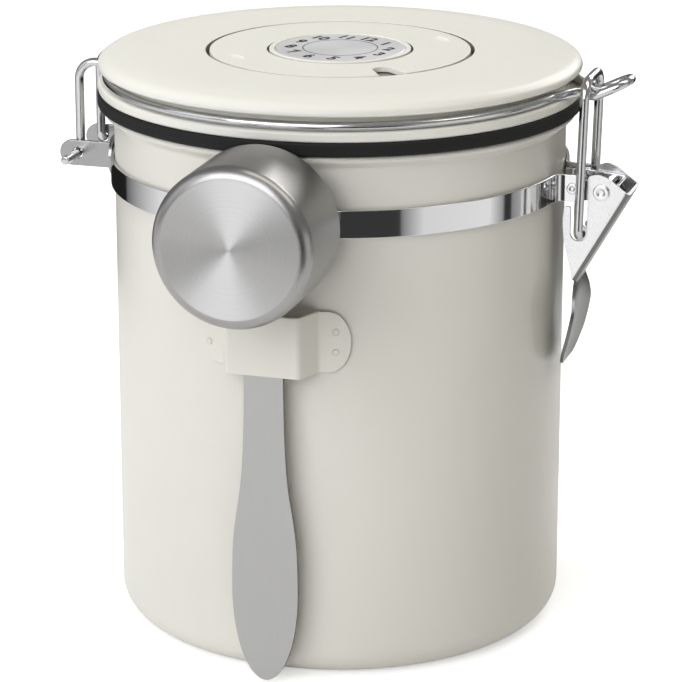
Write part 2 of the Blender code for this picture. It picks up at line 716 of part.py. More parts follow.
def make_lever():
    top, foot, along = spine_line()
    inward = Vector((along.y, -along.x))
    hole = ring_of((PIVOT.x, PIVOT.z), LEVER_RIVET_RADIUS + GAP)
    lever = plate("lever", [cheek_outline(), hole], 2 * CHEEK_OUTER, SATIN_STEEL, upright())
    start = top - along * OVERRUN + inward * SHEET
    end = foot + along * OVERRUN + inward * SHEET
    far = inward * SPINE_FOOT_DROP
    sides = [tuple(start), tuple(end), tuple(end + far), tuple(start + far)]
    channel = plate("lever_channel", [sides], 2 * CHEEK_INNER, None, upright(), CUTTERS)
    lever = to_mesh(boolean(lever, channel))
    lever = to_mesh(boolean(lever, make_spoon(), "UNION"))
    return settle(lever, SATIN_STEEL, PIVOT)


def make_bail():
    crest_x = BAIL_PIN.x + BAIL_CREST_LEAN
    half = [
        (BAIL_PIN.x, BAIL_PIN_END, BAIL_PIN.z), (BAIL_PIN.x, BAIL_SIDE, BAIL_PIN.z),
        (crest_x, BAIL_SIDE, BAIL_CREST_Z),
    ]
    corners = [(x, -y, z) for x, y, z in half] + half[::-1]
    radii = [0, BAIL_PIN_BEND, BAIL_CREST_BEND, BAIL_CREST_BEND, BAIL_PIN_BEND, 0]
    bail = wire("bail_wire", round_corners(corners, radii), WIRE_RADIUS, POLISHED_STEEL)
    return settle(bail, POLISHED_STEEL, BAIL_PIN)


def make_hinge_bracket():
    pad_deg = math.degrees(math.asin(HINGE_PAD_HALF_WIDTH / HINGE_PAD_RADIUS))
    middle = HINGE_PAD_RADIUS + HINGE_PAD_THICKNESS / 2
    pad_path = arc((0, 0), middle, 180 - pad_deg, 180 + pad_deg, ARC_STEP_DEG / 2)
    pad = plate(
        "hinge_bracket", [strip_outline(pad_path, HINGE_PAD_THICKNESS)], HINGE_PAD_HEIGHT, POLISHED_STEEL,
        lifted(HINGE.z),
    )
    half_height = HINGE_PAD_HEIGHT / 2
    straight = HINGE_PAD_HALF_WIDTH - half_height
    ends = [(straight + x, z) for x, z in arc((0, 0), half_height, -90, 90)]
    ends += [(-straight + x, z) for x, z in arc((0, 0), half_height, 90, 270)]
    stand = Matrix.Translation((HINGE.x, 0, HINGE.z)) @ Matrix.Rotation(math.radians(90), 4, "Z")
    stand = stand @ Matrix.Rotation(math.radians(90), 4, "X")
    guide = plate("hinge_pad_front", [ends], 2 * HINGE_REACH + 2 * OVERRUN, None, stand, CUTTERS)
    bracket = to_mesh(boolean(pad, guide, "INTERSECT"))
    ear_round = EAR_HEIGHT / 2
    root = -math.sqrt(middle**2 - (EAR_HALF_SPAN + EAR_THICKNESS) ** 2)
    tip = HINGE.x - EAR_REACH + ear_round
    outline = [(root, HINGE.z + ear_round)] + arc((tip, HINGE.z), ear_round, 90, 270)
    outline += [(root, HINGE.z - ear_round)]
    hole = ring_of((HINGE.x, HINGE.z), WIRE_RADIUS + GAP)
    for side in (-1, 1):
        y = side * (EAR_HALF_SPAN + EAR_THICKNESS / 2)
        ear = plate("hinge_ear", [outline, hole], EAR_THICKNESS, None, upright(y), CUTTERS)
        bracket = to_mesh(boolean(bracket, ear, "UNION"))
    return settle(bracket, POLISHED_STEEL)


def lid_wire_half():
    """One half of the lid wire, from the middle of the loop's end round to the hinge pin's end."""
    tip_x = BODY_RADIUS + LOOP_TIP_REACH
    low_z = RING_Z - LOOP_DIP
    rise_x = BODY_RADIUS + LOOP_RISE_REACH
    tip_z = low_z + (tip_x - rise_x) * math.tan(math.radians(LOOP_RISE_DEG))
    kink = math.asin(LOOP_KINK_HALF_WIDTH / RING_RADIUS)
    loop = [
        (tip_x, 0, tip_z), (tip_x, LOOP_HALF_WIDTH, tip_z), (rise_x, LOOP_HALF_WIDTH, low_z),
        (BODY_RADIUS + LOOP_DIP_REACH, LOOP_HALF_WIDTH, low_z),
        (BODY_RADIUS + LOOP_START_REACH, LOOP_HALF_WIDTH, RING_Z),
    ]
    loop_radii = [0, LOOP_HALF_WIDTH - GAP, RING_EXIT_BEND, RING_EXIT_BEND, RING_EXIT_BEND]
    leave = math.asin((LEG_SIDE + RING_EXIT_BEND) / (RING_RADIUS + RING_EXIT_BEND))
    back = (RING_RADIUS * math.sin(leave) - LEG_SIDE) / math.cos(leave)
    turn_in = (-RING_RADIUS * math.cos(leave) - back * math.sin(leave), LEG_SIDE, RING_Z)
    ring = arc((0, 0), RING_RADIUS, math.degrees(kink), 180 - math.degrees(leave), ARC_STEP_DEG)
    ring = [(x, y, RING_Z) for x, y in ring]
    leg = [(HINGE.x, LEG_SIDE, RING_Z), (HINGE.x, LEG_SIDE, HINGE.z), (HINGE.x, LEG_STUB_END, HINGE.z)]
    points = loop + ring + [turn_in] + leg
    radii = loop_radii + [0] * len(ring) + [RING_EXIT_BEND, LEG_BEND_RADIUS, LEG_FOOT_BEND, 0]
    return points, radii


def make_lid_wire():
    points, radii = lid_wire_half()
    other = [(x, -y, z) for x, y, z in points[1:]]
    corners = points[:0:-1] + other
    bends = radii[:0:-1] + radii[1:]
    obj = wire("lid_wire", round_corners(corners, bends), WIRE_RADIUS, POLISHED_STEEL)
    return settle(obj, POLISHED_STEEL, HINGE)


def make_cover():
    top = COVER_TOP_Z
    edge = COVER_RIM_ROUND
    under = COVER_UNDER_Z
    drop = top - under - SHEET
    rim = [
        (LID_RADIUS - edge + edge * x, top - drop * (1 - z))
        for z, x in arc((0, 0), 1, 0, 90, COARSE_STEP_DEG)
    ]
    wall = RECESS_RADIUS + RECESS_WALL
    brim = SHEET / 2
    profile = rim + [
        (LID_RADIUS, under), (SKIRT_INNER_RADIUS, under), (SKIRT_INNER_RADIUS, COVER_INSIDE_Z),
        (wall, COVER_INSIDE_Z), (wall, COVER_FLOOR_UNDER_Z), (HUB_HOLE_RADIUS, COVER_FLOOR_UNDER_Z),
        (HUB_HOLE_RADIUS, COVER_FLOOR_Z), (COVER_STEP_RADIUS, COVER_FLOOR_Z),
        (COVER_STEP_RADIUS, COVER_STEP_Z), (RECESS_RADIUS, COVER_STEP_Z), (RECESS_RADIUS, top - brim),
        (RECESS_RADIUS + brim, top),
    ]
    cover = turned("lid_cover", profile, IVORY_PLASTIC)
    for i in range(LID_VENTS):
        angle = TAU * (i + 1 / 2) / LID_VENTS
        x, y = LID_VENT_REACH * math.cos(angle), LID_VENT_REACH * math.sin(angle)
        hole = rod(f"lid_vent_{i}", LID_VENT_RADIUS, (x, y, COVER_FLOOR_UNDER_Z - OVERRUN), (x, y, top))
        boolean(cover, hole)
    return settle(cover, IVORY_PLASTIC, HINGE)


def make_plug():
    neck_inner = NECK_RADIUS - PLUG_NECK_WALL
    neck_top = COVER_INSIDE_Z - WIRE_SEAT_GAP
    skirt_inner = PLUG_RADIUS - PLUG_NECK_WALL
    ease = SHEET / 2
    profile = [
        (NECK_RADIUS, neck_top), (NECK_RADIUS, FLANGE_TOP_Z), (LID_RADIUS - ease, FLANGE_TOP_Z),
        (LID_RADIUS, FLANGE_TOP_Z - ease), (LID_RADIUS, FLANGE_LOW_Z), (PLUG_RADIUS, FLANGE_LOW_Z),
        (PLUG_RADIUS, PLUG_BOTTOM_Z), (VALVE_HOLE_RADIUS, PLUG_BOTTOM_Z), (VALVE_HOLE_RADIUS, PLUG_FLOOR_Z),
        (skirt_inner, PLUG_FLOOR_Z), (skirt_inner, FLANGE_TOP_Z), (neck_inner, neck_top),
    ]
    return settle(turned("lid_plug", profile, IVORY_PLASTIC), IVORY_PLASTIC, HINGE)


def make_gasket():
    low = GASKET_LOW_Z
    high = low + GASKET_HEIGHT
    outer = LID_RADIUS + GASKET_OVERHANG
    inner = PLUG_RADIUS + GAP
    lip = GASKET_HEIGHT / 4
    profile = [
        (outer - lip, high), (outer, high - lip), (outer, low + lip), (outer - lip, low), (inner, low),
        (inner, high),
    ]
    return settle(turned("gasket", profile, BLACK_SILICONE), BLACK_SILICONE, HINGE)


def make_day_card():
    high = CARD_Z + CARD_HEIGHT
    profile = [
        (CARD_RADIUS, high), (CARD_RADIUS, CARD_Z), (CARD_INNER_RADIUS, CARD_Z),
        (CARD_INNER_RADIUS, high),
    ]
    return settle(turned("day_card", profile, GREY_CARD), GREY_CARD)


def window_outline():
    """The window, seen from above with +X outwards: round at its inner end, wider at the wheel's edge."""
    inner = WINDOW_INNER_WIDTH / 2
    outer = WINDOW_OUTER_WIDTH / 2
    rounded = arc((WHEEL_RADIUS - WINDOW_DEPTH + inner, 0), inner, 90, 270, HIDDEN_STEP_DEG)
    return rounded + [(WHEEL_RADIUS + OVERRUN, -outer), (WHEEL_RADIUS + OVERRUN, outer)]


def make_wheel():
    top = COVER_TOP_Z
    ease = SHEET / 4
    foot = DIAL_FOOT_Z
    profile = [
        (WHEEL_RADIUS - ease, top), (WHEEL_RADIUS, top - ease), (WHEEL_RADIUS, WHEEL_LOW_Z),
        (WHEEL_COLLAR_RADIUS, WHEEL_LOW_Z), (WHEEL_COLLAR_RADIUS, foot), (WHEEL_INNER_RADIUS, foot),
        (WHEEL_INNER_RADIUS, top),
    ]
    wheel = turned("date_wheel", profile, IVORY_PLASTIC)
    turn = Matrix.Rotation(math.radians(WINDOW_AZIMUTH_DEG), 4, "Z")
    depth = 2 * WHEEL_HEIGHT + 2 * OVERRUN
    window = plate("window", [window_outline()], depth, None, lifted(top) @ turn, CUTTERS)
    boolean(wheel, window)
    half_width = DIMPLE_WIDTH / 2
    straight = DIMPLE_LENGTH / 2 - half_width
    for i, side in enumerate((-90, 90)):
        around = arc((0, straight), half_width, 0, 180, HIDDEN_STEP_DEG)
        around += arc((0, -straight), half_width, 180, 360, HIDDEN_STEP_DEG)
        turn = Matrix.Rotation(math.radians(WINDOW_AZIMUTH_DEG + side), 4, "Z")
        place = turn @ Matrix.Translation((WHEEL_RADIUS - DIMPLE_INSET, 0, top))
        dimple = plate(f"dimple_{i}", [around], 2 * DIMPLE_DEPTH, None, place, CUTTERS)
        boolean(wheel, dimple)
    return settle(wheel, IVORY_PLASTIC)


def make_knob():
    top = KNOB_TOP_Z
    rim_inner = KNOB_RECESS_RADIUS
    foot = DIAL_FOOT_Z
    under = KNOB_RECESS_Z - KNOB_FLOOR
    snap_top = COVER_FLOOR_UNDER_Z - GAP
    snap_low = snap_top - KNOB_SNAP_HEIGHT
    ease = KNOB_RIM_RISE / 2
    bore = KNOB_STEM_RADIUS - KNOB_STEM_WALL
    profile = [
        (0, KNOB_RECESS_Z), (rim_inner, KNOB_RECESS_Z), (rim_inner, top), (KNOB_RADIUS - ease, top),
        (KNOB_RADIUS, top - ease), (KNOB_RADIUS, foot), (rim_inner, foot), (rim_inner, under),
        (KNOB_STEM_RADIUS, under), (KNOB_STEM_RADIUS, snap_top), (KNOB_SNAP_RADIUS, snap_top),
        (KNOB_STEM_RADIUS, snap_low), (bore, snap_low), (bore, under), (0, under),
    ]
    return settle(turned("month_knob", profile, IVORY_PLASTIC, SMALL_SEGMENTS, closed=False), IVORY_PLASTIC)


def make_dial():
    low = KNOB_RECESS_Z + RIVET_GAP
    high = low + DIAL_HEIGHT
    ease = DIAL_HEIGHT / 4
    profile = [
        (0, high), (DIAL_RADIUS - ease, high), (DIAL_RADIUS, high - ease), (DIAL_RADIUS, low), (0, low),
    ]
    return settle(turned("dial_plate", profile, BRUSHED_STEEL, SMALL_SEGMENTS, closed=False), BRUSHED_STEEL)


def make_valve_seat():
    """A flanged cup through the plug's floor, with a middle hole for the disc's stem and vents round it."""
    top = SEAT_TOP_Z
    foot = PLUG_BOTTOM_Z - SHEET
    stem_hole = DISC_STEM_RADIUS + GAP
    tube = SEAT_RADIUS - SEAT_TUBE_WALL
    profile = [
        (SEAT_FLANGE_RADIUS, top), (SEAT_FLANGE_RADIUS, SEAT_FLANGE_Z), (SEAT_RADIUS, SEAT_FLANGE_Z),
        (SEAT_RADIUS, foot), (tube, foot), (tube, SEAT_FLANGE_Z), (stem_hole, SEAT_FLANGE_Z),
        (stem_hole, top),
    ]
    seat = turned("valve_seat", profile, IVORY_PLASTIC, SMALL_SEGMENTS)
    for i in range(SEAT_VENTS):
        angle = TAU * i / SEAT_VENTS
        x, y = SEAT_VENT_REACH * math.cos(angle), SEAT_VENT_REACH * math.sin(angle)
        boolean(seat, rod(f"seat_vent_{i}", SEAT_VENT_RADIUS, (x, y, foot), (x, y, top + OVERRUN)))
    return settle(seat, IVORY_PLASTIC, HINGE)


def make_valve_disc():
    rest = SEAT_TOP_Z + GAP
    top = rest + DISC_HEIGHT
    bulb_top = SEAT_FLANGE_Z - GAP - DISC_TRAVEL
    bulb_low = bulb_top - DISC_BULB_HEIGHT
    ease = DISC_HEIGHT / 4
    profile = [
        (0, top + ease), (DISC_RADIUS - ease, top - ease), (DISC_RADIUS, rest), (DISC_STEM_RADIUS, rest),
        (DISC_STEM_RADIUS, bulb_top), (DISC_BULB_RADIUS, bulb_top), (DISC_STEM_RADIUS, bulb_low),
        (0, bulb_low),
    ]
    disc = turned("valve_disc", profile, PALE_SILICONE, TINY_SEGMENTS, closed=False)
    return settle(disc, PALE_SILICONE)


def make_valve_filter():
    low = CAP_LOW_Z + SHEET + RIVET_GAP
    high = low + FILTER_HEIGHT - RIVET_GAP
    radius = CAP_INNER_RADIUS - GAP - SHEET
    profile = [(0, high), (radius, high), (radius, low), (0, low)]
    disc = turned("valve_filter", profile, GREY_FELT, SMALL_SEGMENTS, closed=False)
    return settle(disc, GREY_FELT, HINGE)


def make_valve_cap():
    """A slotted cup under the lid that holds the filter up to the seat."""
    top = CAP_TOP_Z
    low = CAP_LOW_Z
    inner = CAP_INNER_RADIUS
    ease = SHEET / 2
    profile = [
        (0, low + SHEET), (inner, low + SHEET), (inner, top), (CAP_RADIUS, top), (CAP_RADIUS, low + ease),
        (CAP_RADIUS - ease, low), (0, low),
    ]
    cap = turned("valve_cap", profile, IVORY_PLASTIC, SMALL_SEGMENTS, closed=False)
    pitch = (2 * inner - 2 * CAP_SLOT_WIDTH) / CAP_SLOTS
    for i in range(CAP_SLOTS):
        y = pitch * (i - (CAP_SLOTS - 1) / 2)
        half = math.sqrt((inner - CAP_SLOT_WIDTH / 2) ** 2 - (abs(y) + CAP_SLOT_WIDTH / 2) ** 2)
        near, far = y - CAP_SLOT_WIDTH / 2, y + CAP_SLOT_WIDTH / 2
        boolean(cap, block(f"cap_slot_{i}", (-half, near, low - OVERRUN), (half, far, top)))
    return settle(cap, IVORY_PLASTIC, HINGE)


def make_clip():
    """The scoop's holder: two lobes that follow the can and a raised bridge between them."""
    middle = BODY_RADIUS + GAP + SHEET / 2
    bridge_y = -(BODY_RADIUS + CLIP_BRIDGE_OUTSET + SHEET / 2)
    foot_deg = math.degrees(math.asin(CLIP_FOOT_HALF_WIDTH / middle))
    lobe = arc((0, 0), middle, -90 + CLIP_LOBE_DEG, -90 + foot_deg, ARC_STEP_DEG / 2)
    shoulder = (CLIP_POCKET_HALF_WIDTH + SHEET / 2, bridge_y)
    half = lobe + [shoulder]
    radii = [0] * (len(lobe) - 1) + [CLIP_BEND_RADIUS, CLIP_BEND_RADIUS]
    other = [(-x, y) for x, y in half[::-1]]
    path = round_corners(half + other, radii + radii[::-1])
    clip = plate("scoop_clip", [strip_outline(path, SHEET)], CLIP_HEIGHT, CREAM_PAINT, lifted(CLIP_Z))
    radius = CLIP_HEIGHT / 2
    straight = middle * math.sin(math.radians(CLIP_LOBE_DEG)) - radius
    ends = [(straight + x, CLIP_Z + z) for x, z in arc((0, 0), radius, -90, 90)]
    ends += [(-straight + x, CLIP_Z + z) for x, z in arc((0, 0), radius, 90, 270)]
    guide = plate("clip_front", [ends], 2 * middle, None, upright(-middle), CUTTERS)
    return settle(boolean(clip, guide, "INTERSECT"), CREAM_PAINT)


def make_cup():
    edge = SCOOP_EDGE_ROUND
    wall = SCOOP_WALL
    base = SCOOP_DEPTH
    outer_round = arc((SCOOP_RADIUS - edge, base - edge), edge, 90, 0, COARSE_STEP_DEG)
    inner_round = arc((SCOOP_RADIUS - edge, base - edge), edge - wall, 0, 90, HIDDEN_STEP_DEG)
    profile = [(0, base)] + outer_round + [(SCOOP_RADIUS, 0), (SCOOP_RADIUS - wall, 0)]
    profile += inner_round + [(0, base - wall)]
    cup = turned("scoop_cup", profile, BRUSHED_STEEL, closed=False)
    place = Matrix.Translation((0, -SCOOP_MOUTH, SCOOP_Z))
    cup.matrix_world = place @ Matrix.Rotation(math.radians(90), 4, "X")
    return settle(cup, BRUSHED_STEEL)


def make_handle():
    top, low = HANDLE_TOP_Z, HANDLE_FOOT_Z
    right = [(HANDLE_WIDTH / 2 * width, low + HANDLE_LENGTH * up) for up, width in HANDLE_SHARES]
    left = [(-x, z) for x, z in right[::-1]]
    middle = upright(-(HANDLE_INNER + HANDLE_OUTER) / 2)
    blade = plate("scoop_handle", [right + [(0, low)] + left], HANDLE_THICKNESS, SATIN_STEEL, middle)
    neck = HANDLE_NECK_WIDTH / 2
    reach = HANDLE_INNER + HANDLE_TAB_LENGTH
    tab = block("handle_tab", (-neck, -reach, top - HANDLE_THICKNESS), (neck, -HANDLE_INNER, top))
    return settle(boolean(blade, tab, "UNION"), SATIN_STEEL)


make_body()
make_band()
make_bracket()
make_band_rivets()
make_lever_rivet()
make_lever()
make_bail()
make_hinge_bracket()
make_lid_wire()
make_cover()
make_plug()
make_gasket()
make_day_card()
make_wheel()
make_knob()
make_dial()
make_valve_seat()
make_valve_disc()
make_valve_filter()
make_valve_cap()
make_clip()
make_cup()
make_handle()
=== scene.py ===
from math import acos, asin, ceil, cos, degrees, pi, radians, sin, tan, tau

import bmesh
import bpy
import numpy as np
from mathutils import Matrix, Vector


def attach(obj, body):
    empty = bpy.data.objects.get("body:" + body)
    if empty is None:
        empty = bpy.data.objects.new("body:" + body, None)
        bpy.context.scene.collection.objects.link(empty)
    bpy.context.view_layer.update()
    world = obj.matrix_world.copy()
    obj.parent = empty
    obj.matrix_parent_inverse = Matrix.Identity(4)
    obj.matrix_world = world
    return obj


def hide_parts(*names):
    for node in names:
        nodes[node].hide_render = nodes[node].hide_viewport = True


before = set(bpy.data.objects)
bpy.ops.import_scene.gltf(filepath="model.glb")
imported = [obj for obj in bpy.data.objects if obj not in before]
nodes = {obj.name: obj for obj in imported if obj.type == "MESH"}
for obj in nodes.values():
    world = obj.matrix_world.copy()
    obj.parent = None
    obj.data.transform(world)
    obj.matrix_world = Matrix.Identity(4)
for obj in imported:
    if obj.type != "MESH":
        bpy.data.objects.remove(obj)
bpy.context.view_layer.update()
mm = 0.001
print("frame loaded:", len(nodes), "nodes")


# Sizes written in millimetres, as metres.
def inMetres(**sizes):
    return {name: size * mm for name, size in sizes.items()}


# Materials

# Gives a socket a value, or links it to another node's output.
def feed(tree, value, target):
    if isinstance(value, bpy.types.NodeSocket):
        tree.links.new(value, target)
    else:
        target.default_value = value


def feedNamed(tree, node, inputs):
    for name, value in inputs.items():
        feed(tree, value, node.inputs[name.replace("_", " ")])
    return node


def addNode(tree, kind, **inputs):
    return feedNamed(tree, tree.nodes.new("ShaderNode" + kind), inputs)


# A maths node, whose inputs go by their order.
def compute(tree, kind, operation, *values):
    node = tree.nodes.new("ShaderNode" + kind)
    node.operation = operation
    for value, target in zip(values, node.inputs):
        feed(tree, value, target)
    return node


def newMaterial(name, colour, roughness, metallic=0.0, **inputs):
    material = bpy.data.materials.new(name)
    material.use_nodes = True
    tree = material.node_tree
    inputs.update(Base_Color=(*colour, 1.0), Roughness=roughness, Metallic=metallic)
    return material, tree, feedNamed(tree, tree.nodes["Principled BSDF"], inputs)


# Object coordinates, moved so that centre is their middle, then stretched.
def objectPlace(tree, stretch=(1.0, 1.0, 1.0), centre=(0.0, 0.0, 0.0)):
    shift = compute(tree, "VectorMath", "SUBTRACT", addNode(tree, "TexCoord").outputs["Object"], centre)
    return addNode(tree, "Mapping", Vector=shift.outputs["Vector"], Scale=stretch).outputs["Vector"]


# Noise over a Vector, or along a single value W.
def addNoise(tree, scale, detail=2.0, mix=0.5, **place):
    node = tree.nodes.new("ShaderNodeTexNoise")
    node.noise_dimensions = "1D" if "W" in place else "3D"
    return feedNamed(tree, node, dict(place, Scale=scale, Detail=detail, Roughness=mix)).outputs["Fac"]


# Maps a 0 to 1 pattern onto low to high.
def spread(tree, value, low, high):
    return addNode(tree, "MapRange", Value=value, To_Min=low, To_Max=high).outputs["Result"]


# Lets patterns drive a surface: its tone between two colours, its roughness by two steps, and its height. The
# fine one drives all that no other pattern is given for.
def addPattern(tree, shader, look, roughness, fine, tones, toneFrom=None, glossFrom=None):
    if tones:
        ramp = addNode(tree, "ValToRGB", Fac=toneFrom or fine)
        for element, tone in zip(ramp.color_ramp.elements, tones):
            element.color = (*tone, 1.0)
        feed(tree, ramp.outputs["Color"], shader.inputs["Base Color"])
    low, high = look["gloss"]
    feed(tree, spread(tree, glossFrom or fine, roughness + low, roughness + high), shader.inputs["Roughness"])
    bump = addNode(tree, "Bump", Height=fine, Strength=look["bump"], Distance=look["depth"])
    feed(tree, bump.outputs["Normal"], shader.inputs["Normal"])


def shades(colour, shares):
    return [tuple(np.minimum(np.array(colour) * share, 1.0)) for share in shares]


# Each look has its fine noise, the shares of its darkest and palest tone, the steps in its roughness, and the
# strength and depth of its bump. Paint has the fine orange peel of a powder coat, plastic a spark-eroded grain.
paintLook = dict(deep=(0.755, 0.738, 0.658), pale=(0.775, 0.758, 0.680), roughness=0.36, slowScale=55.0,
                 fine=dict(scale=2600.0, detail=3.0, mix=0.6), gloss=(-0.04, 0.04), bump=0.35, depth=0.00002)
plasticLook = dict(deep=(0.82, 0.81, 0.735), pale=(0.84, 0.831, 0.757), roughness=0.36, slowScale=40.0,
                   fine=dict(scale=3400.0), gloss=(-0.05, 0.06), bump=0.3, depth=0.000012)
polishedLook = dict(metallic=1.0, fine=dict(scale=900.0, detail=4.0, mix=0.7), tones=(), bump=0.2, depth=0.000004)
satinLook = dict(metallic=1.0, fine=dict(scale=1500.0, detail=5.0, mix=0.75), tones=(0.93, 1.07),
                 gloss=(-0.08, 0.10), bump=0.35, depth=0.00001)
spunLook = dict(fine=dict(scale=2600.0, detail=4.0, mix=0.7), tones=(0.86, 1.14), gloss=(-0.05, 0.08), bump=0.4,
                depth=0.000004)
rubberLook = dict(metallic=0.0, fine=dict(scale=1800.0, detail=3.0), tones=(0.85, 1.2), gloss=(-0.06, 0.08),
                  bump=0.3, depth=0.00002)


# Paint or plastic: a slow change in tone over a fine grain. Paint's gloss changes with its tone.
def coatMaterial(name, look, slowGloss, **inputs):
    material, tree, shader = newMaterial(name, look["pale"], look["roughness"], **inputs)
    place = objectPlace(tree)
    fine = addNoise(tree, **look["fine"], Vector=place)
    slow = addNoise(tree, look["slowScale"], Vector=place)
    addPattern(tree, shader, look, look["roughness"], fine, (look["deep"], look["pale"]), slow,
               slow if slowGloss else fine)
    return material


# Metal or rubber: one noise, stretched into lines where the metal is ground.
def grainMaterial(name, look, colour, roughness, stretch=(1.0, 1.0, 1.0), **inputs):
    material, tree, shader = newMaterial(name, colour, roughness, look["metallic"], **inputs)
    fine = addNoise(tree, **look["fine"], Vector=objectPlace(tree, stretch))
    addPattern(tree, shader, look, roughness, fine, shades(colour, look["tones"]))
    return material


# Polished steel, whose gloss changes by shares of its roughness.
def polishedMaterial(name, colour, roughness):
    look = dict(polishedLook, gloss=(-0.5 * roughness, 0.9 * roughness))
    return grainMaterial(name, look, colour, roughness, (1.0, 1.0, 14.0))


def rubberMaterial(name, colour, roughness):
    return grainMaterial(name, rubberLook, colour, roughness, Specular_IOR_Level=0.3)


# Steel ground in a lathe: rings round the axis, with gloss stretched across them.
def spunMaterial(name, colour, roughness, anisotropy, centre, axis):
    material, tree, shader = newMaterial(name, colour, roughness, 1.0, Anisotropic=anisotropy,
                                         Anisotropic_Rotation=0.25)
    place = objectPlace(tree, centre=centre)
    flat = compute(tree, "VectorMath", "MULTIPLY", place, tuple(float(k != axis) for k in range(3)))
    reach = compute(tree, "VectorMath", "LENGTH", flat.outputs["Vector"])
    along = addNode(tree, "SeparateXYZ", Vector=place)
    ring = compute(tree, "Math", "ADD", reach.outputs["Value"], along.outputs["XYZ"[axis]])
    fine = addNoise(tree, **spunLook["fine"], W=ring.outputs["Value"])
    addPattern(tree, shader, spunLook, roughness, fine, shades(colour, spunLook["tones"]))
    tangent = addNode(tree, "Tangent")
    tangent.direction_type = "UV_MAP"
    tangent.uv_map = "turn"
    feed(tree, tangent.outputs["Tangent"], shader.inputs["Tangent"])
    return material


creamPaint = coatMaterial("creamPaint", paintLook, True, Coat_Weight=0.22, Coat_Roughness=0.16)
ivoryPlastic = coatMaterial("ivoryPlastic", plasticLook, False, Subsurface_Weight=0.06, Subsurface_Scale=0.002)
# Painted shade: a dark paint for the clip's cut edges and weld slopes.
paintedEdgeShade = rubberMaterial("paintedEdgeShade", (0.30, 0.285, 0.235), 0.55)
polishedSteel = polishedMaterial("polishedSteel", (0.74, 0.74, 0.745), 0.065)
latchSteel = grainMaterial("latchSteel", satinLook, (0.19, 0.189, 0.185), 0.30, (1, 1, 0.06))
bracketSteel = grainMaterial("bracketSteel", satinLook, (0.36, 0.36, 0.357), 0.24, (1, 1, 0.1))
wireSteel = polishedMaterial("wireSteel", (0.60, 0.60, 0.605), 0.15)
cheekSteel = polishedMaterial("cheekSteel", (0.80, 0.80, 0.80), 0.22)
insideSteel = grainMaterial("insideSteel", satinLook, (0.82, 0.815, 0.80), 0.48, (0.04, 0.04, 1))
handleSteel = grainMaterial("handleSteel", satinLook, (0.44, 0.438, 0.43), 0.46, (1.0, 1.0, 0.03))
blackSilicone = rubberMaterial("blackSilicone", (0.0085, 0.0085, 0.008), 0.68)
paleSilicone = rubberMaterial("paleSilicone", (0.70, 0.70, 0.68), 0.45)
greyCard = rubberMaterial("greyCard", (0.30, 0.28, 0.235), 0.60)
# Painted shade for the deep gaps round the dial and inside the wheel.
grooveShade = rubberMaterial("grooveShade", (0.20, 0.18, 0.135), 0.70)
greyFelt = rubberMaterial("greyFelt", (0.55, 0.54, 0.50), 0.95)
blackInk = rubberMaterial("blackInk", (0.02, 0.02, 0.02), 0.50)
print("materials made")


# Meshes from arrays

def linked(name, data):
    piece = bpy.data.objects.new(name, data)
    bpy.context.scene.collection.objects.link(piece)
    return piece


# A mesh shaded smooth up to its sharp edges, as an object.
def smoothed(name, mesh):
    mesh.shade_smooth()
    mesh.set_sharp_from_angle(angle=radians(35.0))
    return linked(name, mesh)


# Takes a mesh out of an edit, which ends there.
def meshFrom(name, edit):
    mesh = bpy.data.meshes.new(name)
    edit.to_mesh(mesh)
    edit.free()
    return mesh


# Welds points that meet and turns the faces outwards.
def cleanUp(edit, near=1e-7):
    bmesh.ops.remove_doubles(edit, verts=edit.verts, dist=near)
    bmesh.ops.recalc_face_normals(edit, faces=edit.faces)


def cleaned(mesh):
    edit = bmesh.new()
    edit.from_mesh(mesh)
    cleanUp(edit)
    edit.to_mesh(mesh)
    edit.free()
    return mesh


# Quads of a grid of points stored row by row, closed along either way.
def gridFaces(rows, columns, aroundColumns=True, aroundRows=False):
    lastRow = rows if aroundRows else rows - 1
    lastColumn = columns if aroundColumns else columns - 1
    r, c = np.meshgrid(np.arange(lastRow), np.arange(lastColumn), indexing="ij")
    nextRow, nextColumn = (r + 1) % rows, (c + 1) % columns
    quads = np.stack([r * columns + c, r * columns + nextColumn, nextRow * columns + nextColumn,
                      nextRow * columns + c], axis=-1)
    return quads.reshape(-1, 4)


# A mesh object from an array of points and an array of quads.
def addMesh(name, vertices, quads, turnUv=None, weld=True):
    mesh = bpy.data.meshes.new(name)
    mesh.vertices.add(len(vertices))
    mesh.vertices.foreach_set("co", np.asarray(vertices, np.float32).ravel())
    mesh.loops.add(quads.size)
    mesh.loops.foreach_set("vertex_index", quads.astype(np.int32).ravel())
    mesh.polygons.add(len(quads))
    mesh.polygons.foreach_set("loop_start", np.arange(0, quads.size, 4, dtype=np.int32))
    mesh.update(calc_edges=True)
    if turnUv is not None:
        layer = mesh.uv_layers.new(name="turn")
        layer.data.foreach_set("uv", np.asarray(turnUv, np.float32).ravel())
    return smoothed(name, cleaned(mesh) if weld else mesh)


# The mesh of a piece in its place, with its modifiers worked out. The piece itself goes.
def takeMesh(piece, keepLayers=True):
    bpy.context.view_layer.update()
    graph = bpy.context.evaluated_depsgraph_get()
    mesh = bpy.data.meshes.new_from_object(piece.evaluated_get(graph), preserve_all_data_layers=keepLayers,
                                           depsgraph=graph)
    mesh.transform(piece.matrix_world)
    bpy.data.objects.remove(piece, do_unlink=True)
    return mesh


def applied(piece):
    name = piece.name
    return linked(name, takeMesh(piece))


# Several pieces put into one object, each keeping its own faces.
def merged(name, pieces):
    whole = bmesh.new()
    for piece in pieces:
        whole.from_mesh(takeMesh(piece))
    return smoothed(name, meshFrom(name, whole))
